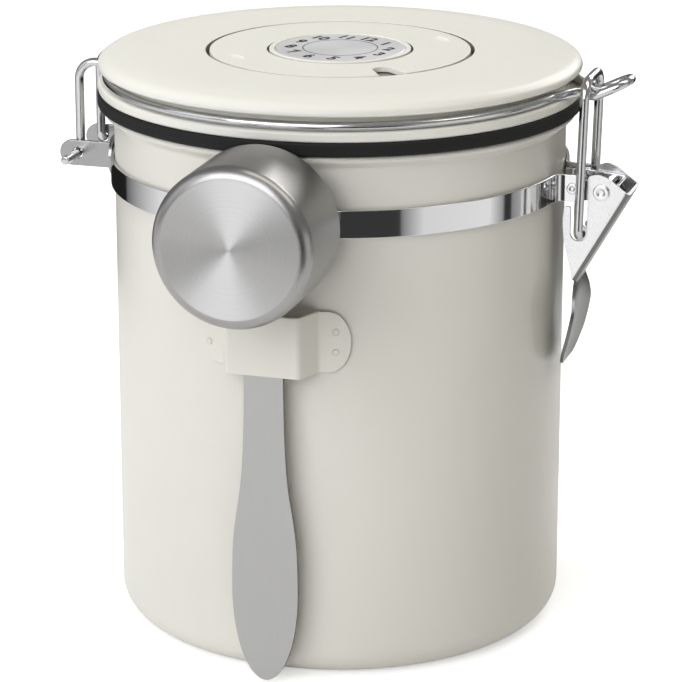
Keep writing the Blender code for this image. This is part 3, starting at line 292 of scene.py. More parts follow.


# Gives a piece its material and body, and hides the nodes that it stands for. Its normals are weighted by face
# size, so that a flat beside a round edge mirrors as a flat.
def finishPiece(piece, material, body, slot, *replaced):
    level = piece.modifiers.new("level", "WEIGHTED_NORMAL")
    level.mode = "FACE_AREA"
    level.keep_sharp = True
    piece = applied(piece)
    piece.data.materials.clear()
    piece.data.materials.append(material)
    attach(piece, body)
    if replaced:
        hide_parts(*replaced)
    return piece


# Gives the faces that a test of their middles and normals picks a second material.
def facesBy(piece, material, test):
    piece.data.materials.append(material)
    read = []
    for field in ("center", "normal"):
        values = np.zeros(len(piece.data.polygons) * 3, np.float32)
        piece.data.polygons.foreach_get(field, values)
        read.append(values.reshape(-1, 3))
    piece.data.polygons.foreach_set("material_index", test(*read).astype(np.int32))


def reachOf(points):
    return np.hypot(points[:, 0], points[:, 1])


# The test for faces round the Z axis between two radii and below a height.
def ringTest(near, far, high):
    return lambda middle, normal: (reachOf(middle) > near) & (middle[:, 2] < high) & (reachOf(middle) < far)


def arcPoints(centre, radius, startDeg, endDeg, count=12):
    angle = np.radians(np.linspace(startDeg, endDeg, count + 1))
    return np.stack([centre[0] + radius * np.cos(angle), centre[1] + radius * np.sin(angle)], axis=1)


def circlePoints(centre, radius, count):
    return arcPoints(centre, radius, 0, 360, count)[:-1]


# Points from the axis out to a radius, which they don't reach, at one height.
def spoke(radius, height, count):
    return np.column_stack([np.linspace(0, 1, count + 1)[:-1] * radius, np.full(count, height)])


# A path through corners, each swapped for an arc that touches both of its sides.
def rounded(corners, radii, closed=False, stepDeg=9.0):
    path = np.asarray(corners, float)
    last = len(path) - 1
    straight = 0.01  # radians
    out = []
    for k, (corner, radius) in enumerate(zip(path, radii)):
        if radius == 0 or (not closed and k in (0, last)):
            out.append(corner[None, :])
            continue
        back, ahead = unit(path[k - 1] - corner), unit(path[(k + 1) % len(path)] - corner)
        turn = pi - acos(float(np.clip(back @ ahead, -1, 1)))
        if turn < straight:
            out.append(corner[None, :])
            continue
        middle, along = unit(back + ahead), unit(ahead - back)
        centre = corner + middle * radius / cos(turn / 2)
        steps = max(3, ceil(degrees(turn) / stepDeg))
        angle = turn * (np.arange(steps + 1) / steps - 0.5)[:, None]
        out.append(centre + radius * (along * np.sin(angle) - middle * np.cos(angle)))
    return np.concatenate(out)


# A profile of (radius, height) turned about an axis: x = r cos a, y = r sin a, z = h.
def turned(name, profile, steps, middle=(0.0, 0.0, 0.0), axis="Z", closed=True):
    profile = np.asarray(profile, float)
    rows = len(profile)
    angle = np.arange(steps) * tau / steps
    radius, height = profile[:, 0][:, None], profile[:, 1][:, None]
    x, y = radius * np.cos(angle), radius * np.sin(angle)
    z = np.broadcast_to(height, x.shape)
    order = {"Z": (x, y, z), "Y": (x, -z, y), "-Y": (x, z, -y)}[axis]
    points = np.stack(order, axis=-1).reshape(-1, 3) + np.asarray(middle)
    quads = gridFaces(rows, steps, True, closed)
    ring = (quads % steps) / steps
    ring[:, 1] = np.where(ring[:, 1] < ring[:, 0], 1.0, ring[:, 1])
    ring[:, 2] = np.where(ring[:, 2] < ring[:, 3], 1.0, ring[:, 2])
    run = (quads // steps) / rows
    return addMesh(name, points, quads, np.stack([ring, run], axis=-1))


# Corners of (radius, height), rounded by bends in millimetres, turned about the Z axis.
def lathed(name, corners, bends, steps, stepDeg=15.0, closed=True):
    return turned(name, rounded(corners, np.array(bends) * mm, closed, stepDeg), steps, closed=closed)


# A ring with a square section, round the Z axis.
def squareRing(name, outer, inner, low, high, steps):
    return turned(name, [(outer, high), (outer, low), (inner, low), (inner, high)], steps)


def unit(vectors):
    return vectors / np.linalg.norm(vectors, axis=-1, keepdims=True)


def tangents(path):
    return unit(np.gradient(path, axis=0))


# A section carried along a path: point + u * across * width + v * up * height, ends drawn to a point.
def swept(name, path, across, up, section, widths=1.0, heights=1.0):
    path, section = np.asarray(path, float), np.asarray(section, float)
    across = np.asarray(across) * np.broadcast_to(widths, len(path))[:, None]
    up = np.asarray(up) * np.broadcast_to(heights, len(path))[:, None]
    points = path[:, None, :] + section[None, :, :1] * across[:, None, :]
    points = points + section[None, :, 1:] * up[:, None, :]
    first, last = (np.broadcast_to(end, points[0].shape)[None] for end in (path[0], path[-1]))
    points = np.concatenate([first, points, last])
    return addMesh(name, points.reshape(-1, 3), gridFaces(len(points), len(section)))


# A strip's cross-section: thickness by height, with its edges rounded.
def stripSection(thickness, height, edge):
    t, h = thickness / 2, height / 2
    return rounded([(-t, -h), (t, -h), (t, h), (-t, h)], [edge] * 4, closed=True, stepDeg=30.0)


# A strip that stands on its edge along a plan line.
def bentStrip(name, plan, z, section, heights=1.0):
    path = np.column_stack([plan, np.full(len(plan), z)])
    way = tangents(path)
    across = np.stack([way[:, 1], -way[:, 0], np.zeros(len(way))], axis=1)
    return swept(name, path, across, (0, 0, 1), section, heights=heights)


# A round wire: circles square to the path, each frame carried on from the one before, ends domed.
def wirePiece(name, path, radius, sides=24, domeShare=0.35):
    path = np.asarray(path, float)
    keep = np.concatenate([[True], np.linalg.norm(np.diff(path, axis=0), axis=1) > 1e-6])
    path = path[keep]
    startWay, endWay = unit(path[0] - path[1]), unit(path[-1] - path[-2])
    turn = np.radians([0, 30, 60, 80])
    dome = radius * domeShare * (np.sin(turn)[:, None] - 1)
    narrow = 1 - domeShare * (1 - np.cos(turn))
    path = np.concatenate([(path[0] + startWay * dome)[::-1], path[1:-1], path[-1] + endWay * dome])
    sizes = np.concatenate([narrow[::-1], np.ones(len(path) - 8), narrow])
    way = tangents(path)
    side = np.zeros_like(path)
    start = np.cross(way[0], (0.0, 0.0, 1.0))
    if np.linalg.norm(start) < 0.1:
        start = np.cross(way[0], (1.0, 0.0, 0.0))
    side[0] = unit(start)
    for k in range(1, len(path)):
        side[k] = unit(side[k - 1] - way[k] * (side[k - 1] @ way[k]))
    return swept(name, path, side, np.cross(way, side), circlePoints((0, 0), radius, sides), sizes, sizes)


# A flat outline, with holes, as a curve with a small bevel on its edges, turned to a mesh in its place.
def plate(name, outlines, thickness, edge, matrix):
    curve = bpy.data.curves.new(name, "CURVE")
    curve.dimensions = "2D"
    curve.fill_mode = "BOTH"
    curve.extrude = thickness / 2 - edge
    curve.bevel_depth = edge
    curve.bevel_resolution = 2
    curve.offset = -edge
    for outline in outlines:
        count = len(outline)
        spline = curve.splines.new("POLY")
        spline.points.add(count - 1)
        spline.points.foreach_set("co", np.column_stack([outline, np.zeros(count), np.ones(count)]).ravel())
        spline.use_cyclic_u = True
    mesh = cleaned(takeMesh(linked(name, curve), False))
    mesh.transform(matrix)
    return smoothed(name, mesh)


# Reads a smooth curve through a few points: cubic between them, with slopes from their neighbours.
def smoothRead(share, places, values):
    slope = np.gradient(values, places)
    k = np.clip(np.searchsorted(places, share, side="right") - 1, 0, len(places) - 2)
    gap = places[k + 1] - places[k]
    t = (share - places[k]) / gap
    return ((1 + 2 * t) * (1 - t) ** 2 * values[k] + t * (1 - t) ** 2 * gap * slope[k]
            + t * t * (3 - 2 * t) * values[k + 1] + t * t * (t - 1) * gap * slope[k + 1])


# Adds a grid of points and its quads to a mesh being edited.
def addGrid(edit, grid):
    rows, columns = grid.shape[:2]
    part = bpy.data.meshes.new("grid")
    part.from_pydata(grid.reshape(-1, 3).tolist(), [], gridFaces(rows, columns, False).tolist())
    edit.from_mesh(part)
    bpy.data.meshes.remove(part)


# Can

canSizes = inMetres(radius=60.0, wall=0.8, height=140.4, baseRound=7.1, bead=1.1, rimReach=62.8, flareDrop=3.7,
                    flareBend=1.5, throatBend=1.0, straight=20.0)


# A deep-drawn can: flat base, round base edge, straight wall, a flare and a rolled bead.
def buildCan(radius, wall, height, baseRound, bead, rimReach, flareDrop, flareBend, throatBend, straight):
    inner, flat, low = radius - wall, radius - baseRound, baseRound + straight
    insideRound = arcPoints((flat, baseRound), baseRound - wall, -90, 0, 12)
    outsideRound = arcPoints((flat, baseRound), baseRound, 0, -90, 16)
    lip = arcPoints((rimReach - bead, height - bead), bead, 90, -70, 16)
    flare = rounded([lip[-1], (radius, height - flareDrop), (radius, low)], [0, flareBend, 0])
    throat = rounded([(inner, low), (inner, height), (lip[0][0], height)], [0, throatBend, 0])
    profile = np.concatenate([spoke(flat, wall, 7), insideRound, throat, lip, flare[1:], outsideRound,
                              spoke(flat, 0, 7)[::-1]])
    return turned("canShell", profile, 192, closed=False)


# The can's inner faces: below the bead, and turned inwards or up rather than outwards or down.
def innerFaces(middle, normal, beadDrop=1.5 * mm):
    outwards = (normal * unit(middle * (1, 1, 0) + (1e-9, 0, 0))).sum(axis=1)
    inside = reachOf(middle) < canSizes["radius"] - canSizes["wall"] / 2
    return inside & (outwards < normal[:, 2]) & (middle[:, 2] < canSizes["height"] - beadDrop)


can = finishPiece(buildCan(**canSizes), creamPaint, "can", "cream_paint", "body_shell")
facesBy(can, insideSteel, innerFaces)
print("can made")


# Band and latch bracket

bandSizes = inMetres(z=122.5, height=7.2, radius=60.3, thickness=0.8, tabSide=5.9, tabEnd=67.0, bend=3.0, edge=0.18)


# The strip goes round the can, then turns out through a bend at each end into a straight tab.
def buildBand(z, height, radius, thickness, tabSide, tabEnd, bend, edge):
    middle, side, bend = radius + thickness / 2, tabSide + thickness / 2, bend + thickness / 2
    meet = asin((side + bend) / (middle + bend))
    corner = arcPoints(((middle + bend) * cos(meet), (middle + bend) * sin(meet)), bend, -90,
                       -180 + degrees(meet), 14)
    around = arcPoints((0, 0), middle, degrees(meet), 180, 120)
    half = np.concatenate([[(tabEnd, side)], corner, around[1:]])
    plan = np.concatenate([half, (half[:-1] * (1, -1))[::-1]])
    return bentStrip("bandStrap", plan, z, stripSection(thickness, height, edge))


finishPiece(buildBand(**bandSizes), polishedSteel, "can", "polished_steel", "band_strap")

bracketSizes = inMetres(z=122.0, side=4.8, thickness=0.8, root=60.6, tip=77.0, taperStart=67.0, rootHeight=5.8,
                        tipHeight=3.6, bend=1.4, beforeBend=0.1, edge=0.15)


# A U of strip seen from above, whose height narrows from the band to its closed end.
def buildBracket(z, side, thickness, root, tip, taperStart, rootHeight, tipHeight, bend, beforeBend, edge):
    side, tip = side + thickness / 2, tip - thickness / 2
    x = np.linspace(root, tip - bend - beforeBend, 24)
    end = rounded([(x[-1], -side), (tip, -side), (tip, side), (x[-1], side)], [0, bend, bend, 0])
    leg = np.column_stack([x[:-1], np.full(23, -side)])
    plan = np.concatenate([leg, end, (leg * (1, -1))[::-1]])
    share = np.clip((plan[:, 0] - taperStart) / (tip - taperStart), 0, 1)
    heights = 1 + (tipHeight / rootHeight - 1) * share
    return bentStrip("latchBracket", plan, z, stripSection(thickness, rootHeight, edge), heights)


finishPiece(buildBracket(**bracketSizes), polishedSteel, "can", "polished_steel", "latch_bracket")

rivetSizes = inMetres(x=65.0, z=122.5, low=4.65, high=6.85, shaft=0.8, head=1.5, headHeight=0.4)
pivotSizes = inMetres(x=72.7, z=122.0, low=-6.95, high=6.95, shaft=1.6, head=2.2, headHeight=0.45)


# A pressed head seen from its crown, in shares of its radius and height: crater floor, crater lip, domed rim.
def headProfile(base, radius, height, crater=0.52, craterFloor=0.55, depth=0.7, dome=0.8, bends=(0.2, 0.25)):
    crater, dome = radius * crater, height * dome
    low = base + height * (1 - depth)
    rim = arcPoints((radius - dome, base + height - dome), dome, 90, 0, 6)
    inside = rounded([(0, low), (crater * craterFloor, low), (crater, base + height), (rim[0][0], base + height)],
                     [0, crater * bends[0], crater * bends[1], 0])
    return np.concatenate([inside, rim, [(radius, base)]])


def buildRivet(name, axis, x, z, low, high, shaft, head, headHeight):
    top = headProfile(high, head, headHeight)
    bottom = headProfile(-low, head, headHeight)[::-1] * (1, -1)
    profile = np.concatenate([top, [(shaft, high), (shaft, low)], bottom])
    return turned(name, profile, 48, (x, 0, z), axis, closed=False)


for name, axis, sizes, node in (("bandRivetNear", "Y", rivetSizes, "band_rivet_near"),
                                ("bandRivetFar", "-Y", rivetSizes, "band_rivet_far"),
                                ("leverRivet", "Y", pivotSizes, "lever_rivet")):
    finishPiece(buildRivet(name, axis, **sizes), polishedSteel, "can", "polished_steel", node)
print("band, bracket and rivets made")


# Lever

# Its cheek's outline is in corners from the pivot, each with its bend; its tab in a path and half widths along it.
leverSizes = dict(inMetres(pivotX=72.7, pivotZ=122.0, thickness=0.8, side=6.0, bend=1.1, slotX=66.85, slotZ=110.7,
                           slotRadius=2.25, mouthLow=-4.4, mouthHigh=4.0, foldTop=0.3, foldFoot=0.6, dish=1.2,
                           spoonWidth=21.0, edge=0.16),
                  spineTop=(80.3, 121.9), spineFoot=(66.1, 96.8),
                  front=((-7.6, -22.6, 12), (-9.6, -14.5, 16), (-10.1, -8.6, 14), (-9.7, -4.4, 0.6)),
                  crown=((-1.2, 4.75, 2.2), (1.6, 3.8, 5.0)), mouthBends=(0.45, 0.9),
                  spoonPath=((66.1, 96.8), (65.9, 93.0), (65.2, 88.0), (64.0, 82.0), (62.9, 77.5), (62.5, 73.9)),
                  spoonHalf=((0.0, 6.2), (0.08, 6.8), (0.20, 8.9), (0.34, 10.2), (0.50, 10.5), (0.65, 10.1),
                             (0.78, 9.3), (0.88, 8.0), (0.95, 6.2), (0.985, 3.9), (1.0, 0.05)))


# One bent sheet as a middle surface: two cheeks, two bends, the spine and the dished tab, then its wall.
def buildLever(pivotX, pivotZ, thickness, side, bend, slotX, slotZ, slotRadius, mouthLow, mouthHigh, foldTop,
               foldFoot, dish, spoonWidth, edge, spineTop, spineFoot, front, crown, mouthBends, spoonPath, spoonHalf):
    top, foot = np.array(spineTop) * mm, np.array(spineFoot) * mm
    pivot = np.array([pivotX, pivotZ])
    front, crown, mouthBends = np.array(front) * mm, np.array(crown) * mm, np.array(mouthBends) * mm
    down = unit(foot - top)
    inward = np.array([down[1], -down[0]])
    shift, side = thickness / 2 + bend, side + thickness / 2
    cheekTop = top + inward * shift + down * foldTop
    cheekFoot = foot + inward * shift - down * foldFoot
    near, far = slotX - slotRadius, slotX + slotRadius
    front = rounded([cheekFoot, *(pivot + front[:, :2]), (near, pivotZ + mouthLow), (near, slotZ)],
                    [0, *front[:, 2], mouthBends[0], 0])
    slot = arcPoints((slotX, slotZ), slotRadius, 180, 360, 20)
    crown = rounded([(far, slotZ), (far, pivotZ + mouthHigh), *(pivot + crown[:, :2]), cheekTop],
                    [0, mouthBends[1], *crown[:, 2], 0])
    outline = np.concatenate([front[:-1], slot, crown[1:]])
    fold = cheekTop + (cheekFoot - cheekTop) * np.linspace(0, 1, 30)[:, None]
    angle = np.radians(np.linspace(0, 90, 7))
    bent = fold[:, None, :] - inward * (bend * np.sin(angle))[None, :, None]
    sideY = np.broadcast_to(side - bend + bend * np.cos(angle), bent.shape[:2])
    bendGrid = np.stack([bent[..., 0], sideY, bent[..., 1]], axis=-1)
    cross = np.linspace(1, -1, 13)
    spineLine = bendGrid[:, -1]
    spineGrid = np.repeat(spineLine[:, None, :], 13, axis=1) * (1, 0, 1)
    spineGrid = spineGrid + np.array([0, 1, 0]) * (spineLine[:, None, 1:2] * cross[None, :, None])
    tipStart = 0.9  # from here to the tip the rows come closer
    share = np.concatenate([np.linspace(0, tipStart, 28)[1:],
                            tipStart + (1 - tipStart) * np.sin(np.linspace(0, pi / 2, 14))[1:]])
    corners = np.array(spoonPath) * mm
    corners[0] = spineLine[-1][[0, 2]]
    pathShare = np.linspace(0, 1, len(corners))
    lineX, lineZ = (smoothRead(share, pathShare, corners[:, k]) for k in (0, 1))
    halves = np.array(spoonHalf)
    width = smoothRead(share, halves[:, 0], halves[:, 1] * mm)
    root, rootEnd = spineLine[-1][1], halves[1, 0]
    width = np.where(share < rootEnd, root + (width - root) * share / rootEnd, width)
    dish = dish * np.clip(share * 3, 0, 1) * (width / (spoonWidth / 2)) ** 2
    lean = np.gradient(lineX) / np.gradient(lineZ)
    outX = dish[:, None] * (cross[None, :] ** 2)
    tab = np.stack([lineX[:, None] + outX, width[:, None] * cross[None, :],
                    lineZ[:, None] - lean[:, None] * outX], axis=-1)
    whole = bmesh.new()
    addGrid(whole, np.concatenate([spineGrid, tab]))
    for sign in (1, -1):
        addGrid(whole, bendGrid * (1, sign, 1))
        cheek = np.insert(np.concatenate([outline, fold[1:-1]]), 1, sign * side, axis=1)
        whole.faces.new([whole.verts.new(place) for place in cheek])
    cleanUp(whole, 2e-6)
    mesh = meshFrom("latchLever", whole)
    mesh.shade_smooth()
    piece = linked("latchLever", mesh)
    wall = piece.modifiers.new("wall", "SOLIDIFY")
    wall.thickness = thickness
    wall.offset = 0
    soften = piece.modifiers.new("soften", "BEVEL")
    soften.width = edge
    soften.segments = 2
    soften.angle_limit = radians(50)
    piece = applied(piece)
    piece.data.set_sharp_from_angle(angle=radians(35))
    return piece


lever = finishPiece(buildLever(**leverSizes), latchSteel, "lever", "satin_steel", "lever")
facesBy(lever, cheekSteel, lambda middle, normal: np.abs(normal[:, 1]) > 0.98)  # flat cheeks polished, fold satin

bailSizes = inMetres(pinX=67.2, pinZ=110.1, pinEnd=4.6, side=8.95, crestX=68.3, crestZ=151.2, wire=1.2, pinBend=2.0,
                     crestBend=4.8)


# The wire hoop: a pin in each cheek, a leg up each side, and a crest with round corners.
def buildBail(pinX, pinZ, pinEnd, side, crestX, crestZ, wire, pinBend, crestBend):
    half = [(pinX, pinEnd, pinZ), (pinX, side, pinZ), (crestX, side, crestZ)]
    corners = [(x, -y, z) for x, y, z in half] + half[::-1]
    radii = [0, pinBend, crestBend, crestBend, pinBend, 0]
    return wirePiece("bailWire", rounded(corners, radii, stepDeg=6.0), wire)


finishPiece(buildBail(**bailSizes), wireSteel, "bail", "polished_steel", "bail_wire")
print("lever and bail made")


# Hinge bracket and lid wire

hingeSizes = inMetres(x=-71.2, z=122.9, earInner=9.0, earThickness=1.2, earHeight=7.0, earTip=-76.3, hole=1.5,
                      padRadius=61.4, padThickness=0.9, padHeight=10.6, padHalfWidth=14.5, padTip=0.3, edge=0.2)


# A curved pad with round ends and two ears.
def buildHingeBracket(x, z, earInner, earThickness, earHeight, earTip, hole, padRadius, padThickness, padHeight,
                      padHalfWidth, padTip, edge):
    middle, halfHeight, ring = padRadius + padThickness / 2, padHeight / 2, earHeight / 2
    y = padHalfWidth * np.sin(np.linspace(-pi / 2, pi / 2, 61)[1:-1])
    over = np.clip(np.abs(y) - (padHalfWidth - halfHeight), 0, None)
    heights = np.sqrt(np.clip(halfHeight ** 2 - over ** 2, padTip ** 2, None)) / halfHeight
    path = np.column_stack([-np.sqrt(middle ** 2 - y ** 2), y, np.full(len(y), z)])
    pieces = [swept("hingePad", path, unit(path * (1, 1, 0)), (0, 0, 1),
                    stripSection(padThickness, padHeight, edge), heights=heights)]
    root = -middle * cos(asin((earInner + earThickness) / middle))
    outline = np.concatenate([[(root, z + ring)], arcPoints((earTip + ring, z), ring, 90, 270, 24),
                              [(root, z - ring)]])
    for sign in (-1, 1):
        stand = Matrix.Translation((0, sign * (earInner + earThickness / 2), 0))
        pieces.append(plate("hingeEar", [outline, circlePoints((x, z), hole, 32)], earThickness, edge,
                            stand @ Matrix.Rotation(radians(90), 4, "X")))
    return merged("hingeBracket", pieces)


finishPiece(buildHingeBracket(**hingeSizes), bracketSteel, "can", "polished_steel", "hinge_bracket")

lidWireSizes = dict(inMetres(radius=61.75, z=147.75, wire=1.2, exitBend=3.0, kinkSide=13.0, kinkBend=2.0,
                             loopSide=4.5, loopStart=65.5, dipX=68.5, dip=0.85, riseX=70.0, tipX=78.2, tipFlat=0.3,
                             legSide=7.6, legBend=4.7, footBend=2.0, stubEnd=19.5), riseDeg=25.6)


# One wire: hinge pin, leg up, into the groove, round the lid, out to the loop, and the same mirrored.
def buildLidWire(radius, z, wire, exitBend, kinkSide, kinkBend, loopSide, loopStart, dipX, dip, riseX, tipX,
                 tipFlat, legSide, legBend, footBend, stubEnd, riseDeg):
    low, hingeX, hingeZ = z - dip, hingeSizes["x"], hingeSizes["z"]
    tipZ = low + (tipX - riseX) * tan(radians(riseDeg))
    kink = asin(kinkSide / radius)
    leave = asin((legSide + exitBend) / (radius + exitBend))
    back = (radius * sin(leave) - legSide) / cos(leave)
    ring = arcPoints((0, 0), radius, degrees(kink), 180 - degrees(leave), 110)
    loop = [(tipX, 0, tipZ), (tipX, loopSide, tipZ), (riseX, loopSide, low), (dipX, loopSide, low),
            (loopStart, loopSide, z)]
    legs = [(-radius * cos(leave) - back * sin(leave), legSide, z), (hingeX, legSide, z),
            (hingeX, legSide, hingeZ), (hingeX, stubEnd, hingeZ)]
    half = np.concatenate([loop, np.insert(ring, 2, z, axis=1), legs])
    radii = [0, loopSide - tipFlat, exitBend, exitBend, exitBend, kinkBend] + [0] * (len(ring) - 1)
    radii += [exitBend, legBend, footBend, 0]
    corners = np.concatenate([half[:0:-1], half[1:] * (1, -1, 1)])
    return wirePiece("lidWire", rounded(corners, radii[:0:-1] + radii[1:], stepDeg=6.0), wire)


finishPiece(buildLidWire(**lidWireSizes), wireSteel, "lid", "polished_steel", "lid_wire")
print("hinge and lid wire made")


# Lid

lidSizes = dict(inMetres(radius=64.0, top=154.2, skirtLow=150.5, skirtInner=60.5, sheet=2.2, flatStart=2.0,
                         rimStart=9.0, kneeIn=2.0, kneeDrop=0.8, edgeDrop=2.3, recess=35.55, recessWall=1.55,
                         floorUnder=149.5, floorTop=150.9, stepTop=151.9, stepRadius=23.0, hub=7.4),
                bends=(0, 40, 5, 1.6, 0.4, 0.3, 0.5, 0.5, 0.4, 0.2, 0.2, 0.3, 0.2, 0.3, 0.2))


# The top shell: a near-flat plate, a rounded rim, a short skirt and the dial's recess.
def buildCover(radius, top, skirtLow, skirtInner, sheet, flatStart, rimStart, kneeIn, kneeDrop, edgeDrop, recess,
               recessWall, floorUnder, floorTop, stepTop, stepRadius, hub, bends):
    inside, wall = top - sheet, recess + recessWall
    corners = [(recess + flatStart, top), (radius - rimStart, top), (radius - kneeIn, top - kneeDrop),
               (radius, top - edgeDrop), (radius, skirtLow), (skirtInner, skirtLow), (skirtInner, inside),
               (wall, inside), (wall, floorUnder), (hub, floorUnder), (hub, floorTop), (stepRadius, floorTop),
               (stepRadius, stepTop), (recess, stepTop), (recess, top)]
    return lathed("lidCover", corners, bends, 224, 6.0)


cover = finishPiece(buildCover(**lidSizes), ivoryPlastic, "lid", "ivory_plastic", "lid_cover")
# Painted shade in the groove round the dial: gaps to the step and the walls beside it, and the heights it stays
# below.
grooveSizes = inMetres(stepGap=0.5, wallGap=0.1, coverTop=153.8, wheelGap=0.05, wheelTop=153.9)
facesBy(cover, grooveShade, ringTest(lidSizes["stepRadius"] + grooveSizes["stepGap"],
                                     lidSizes["recess"] + grooveSizes["wallGap"], grooveSizes["coverTop"]))

plugSizes = dict(inMetres(flange=64.0, flangeLow=144.0, flangeTop=146.55, neck=60.2, neckInner=58.2, neckTop=151.6,
                          skirt=55.5, bottom=138.3, floorTop=139.8, hole=9.3, skirtInner=53.5),
                 bends=(0.3, 0.4, 0.7, 0.7, 0.3, 1.2, 0.2, 0.2, 0.8, 0.8, 0.3))


# The lower half: a neck up into the cover, the flange under the wire, and a cup down into the can.
def buildPlug(flange, flangeLow, flangeTop, neck, neckInner, neckTop, skirt, bottom, floorTop, hole, skirtInner,
              bends):
    corners = [(neck, neckTop), (neck, flangeTop), (flange, flangeTop), (flange, flangeLow), (skirt, flangeLow),
               (skirt, bottom), (hole, bottom), (hole, floorTop), (skirtInner, floorTop), (skirtInner, flangeTop),
               (neckInner, neckTop)]
    return lathed("lidPlug", corners, bends, 224)


finishPiece(buildPlug(**plugSizes), ivoryPlastic, "lid", "ivory_plastic", "lid_plug")

gasketSizes = dict(inMetres(outer=64.3, inner=55.8, low=140.4, high=144.0, groove=0.08),
                   bends=(0.6, 0.1, 0.1, 0.1, 0.6, 0.4, 0.4))


# A flat ring with a round edge and a shallow groove round its rim.
def buildGasket(outer, inner, low, high, groove, bends):
    middle = (low + high) / 2
    corners = [(outer, high), (outer, middle + groove), (outer - groove, middle), (outer, middle - groove),
               (outer, low), (inner, low), (inner, high)]
    return lathed("lidGasket", corners, bends, 224)


finishPiece(buildGasket(**gasketSizes), blackSilicone, "lid", "black_silicone", "gasket")
print("lid made")


# Dial

wheelSizes = dict(inMetres(outer=34.5, inner=19.4, top=154.2, height=1.4, collar=21.0, collarLow=151.2,
                           windowInner=25.2, windowNarrow=5.3, windowWide=7.4, dimpleReach=29.3, dimpleWidth=3.7,
                           dimpleLength=7.9, dimpleDepth=0.55, edge=0.16), windowDeg=-50.0)


# The wheel's rim as one line that turns in at the window: down one side, round its end, back up.
def windowedOutline(outer, windowInner, windowNarrow, windowWide, windowDeg):
    half = degrees(asin(windowWide / 2 / outer))
    rim = arcPoints((0, 0), outer, half, 360 - half, 200)
    end = arcPoints((windowInner + windowNarrow / 2, 0), windowNarrow / 2, -90, -270, 16)
    turn = radians(windowDeg)
    spin = np.array([[cos(turn), sin(turn)], [-sin(turn), cos(turn)]])
    return np.concatenate([rim, end]) @ spin


# A long bowl: an ellipse in plan, deepest in its middle, that cuts a finger dimple.
def bowlCutter(name, reach, width, length, depth, top, turnDeg, rows=9, columns=32):
    fall = np.linspace(0, pi / 2, rows)[:, None]
    around = np.arange(columns) * tau / columns
    x = np.cos(around) * np.cos(fall) * width / 2
    y = np.sin(around) * np.cos(fall) * length / 2
    z = -np.sin(fall) * depth + 0 * around
    bowl = np.stack([x, y, z], axis=-1)
    lid = bowl[0] + (0, 0, depth)
    cap = np.broadcast_to((0, 0, depth), lid.shape)
    points = np.concatenate([cap[None], lid[None], bowl]).reshape(-1, 3)
    cutter = addMesh(name, points, gridFaces(rows + 2, columns))
    cutter.data.transform(Matrix.Rotation(radians(turnDeg), 4, "Z") @ Matrix.Translation((reach, 0, 0)))
    cutter.data.transform(Matrix.Translation((0, 0, top)))
    return cutter


def buildWheel(outer, inner, top, height, collar, collarLow, windowInner, windowNarrow, windowWide, dimpleReach,
               dimpleWidth, dimpleLength, dimpleDepth, edge, windowDeg):
    outline = windowedOutline(outer, windowInner, windowNarrow, windowWide, windowDeg)
    face = plate("dateWheel", [outline, circlePoints((0, 0), inner, 160)], height, edge,
                 Matrix.Translation((0, 0, top - height / 2)))
    cutters = [bowlCutter(f"bowl{side}", dimpleReach, dimpleWidth, dimpleLength, dimpleDepth, top,
                          windowDeg + side) for side in (-90, 90)]
    for cutter in cutters:
        face.modifiers.new("cut", "BOOLEAN").object = cutter
    face = applied(face)
    for cutter in cutters:
        bpy.data.objects.remove(cutter, do_unlink=True)
    low = top - height
    rim = turned("wheelCollar", [(collar, low), (collar, collarLow), (inner, collarLow), (inner, low)], 96)
    return merged("dateWheel", [face, rim])


wheel = finishPiece(buildWheel(**wheelSizes), ivoryPlastic, "wheel", "ivory_plastic", "date_wheel")
# The wheel's inner wall gets the same painted shade.
facesBy(wheel, grooveShade, ringTest(0.0, wheelSizes["inner"] + grooveSizes["wheelGap"],
                                     grooveSizes["wheelTop"]))

knobSizes = dict(inMetres(radius=18.75, rimTop=154.5, rimInner=17.4, floor=153.7, low=151.2, under=152.7, stem=7.0,
                          bore=5.8, snap=7.9, snapTop=149.2, snapLow=148.6),
                 bends=(0, 0.15, 0.25, 0.35, 0.2, 0.2, 0.3, 0.4, 0.1, 0.15, 0.1, 0.1, 0.3, 0))


# A dish for the plate on a hollow stem, whose bead snaps under the cover's floor.
def buildKnob(radius, rimTop, rimInner, floor, low, under, stem, bore, snap, snapTop, snapLow, bends):
    corners = [(0, floor), (rimInner, floor), (rimInner, rimTop), (radius, rimTop), (radius, low), (rimInner, low),
               (rimInner, under), (stem, under), (stem, snapTop), (snap, snapTop), (stem, snapLow),
               (bore, snapLow), (bore, under), (0, under)]
    return lathed("monthKnob", corners, bends, 144, closed=False)


finishPiece(buildKnob(**knobSizes), ivoryPlastic, "knob", "ivory_plastic", "month_knob")


# A number as a flat mesh, centred on its own box.
def numeralMesh(text, height, capShare=0.72, boldShare=0.055):
    curve = bpy.data.curves.new("numeral", "FONT")
    curve.body = text
    curve.size = height / capShare
    curve.offset = height * boldShare
    curve.resolution_u = 6
    mesh = takeMesh(linked("numeral", curve), False)
    co = np.zeros(len(mesh.vertices) * 3)
    mesh.vertices.foreach_get("co", co)
    co = co.reshape(-1, 3)
    mesh.transform(Matrix.Translation(-Vector((co.min(0) + co.max(0)) / 2)))
    return mesh


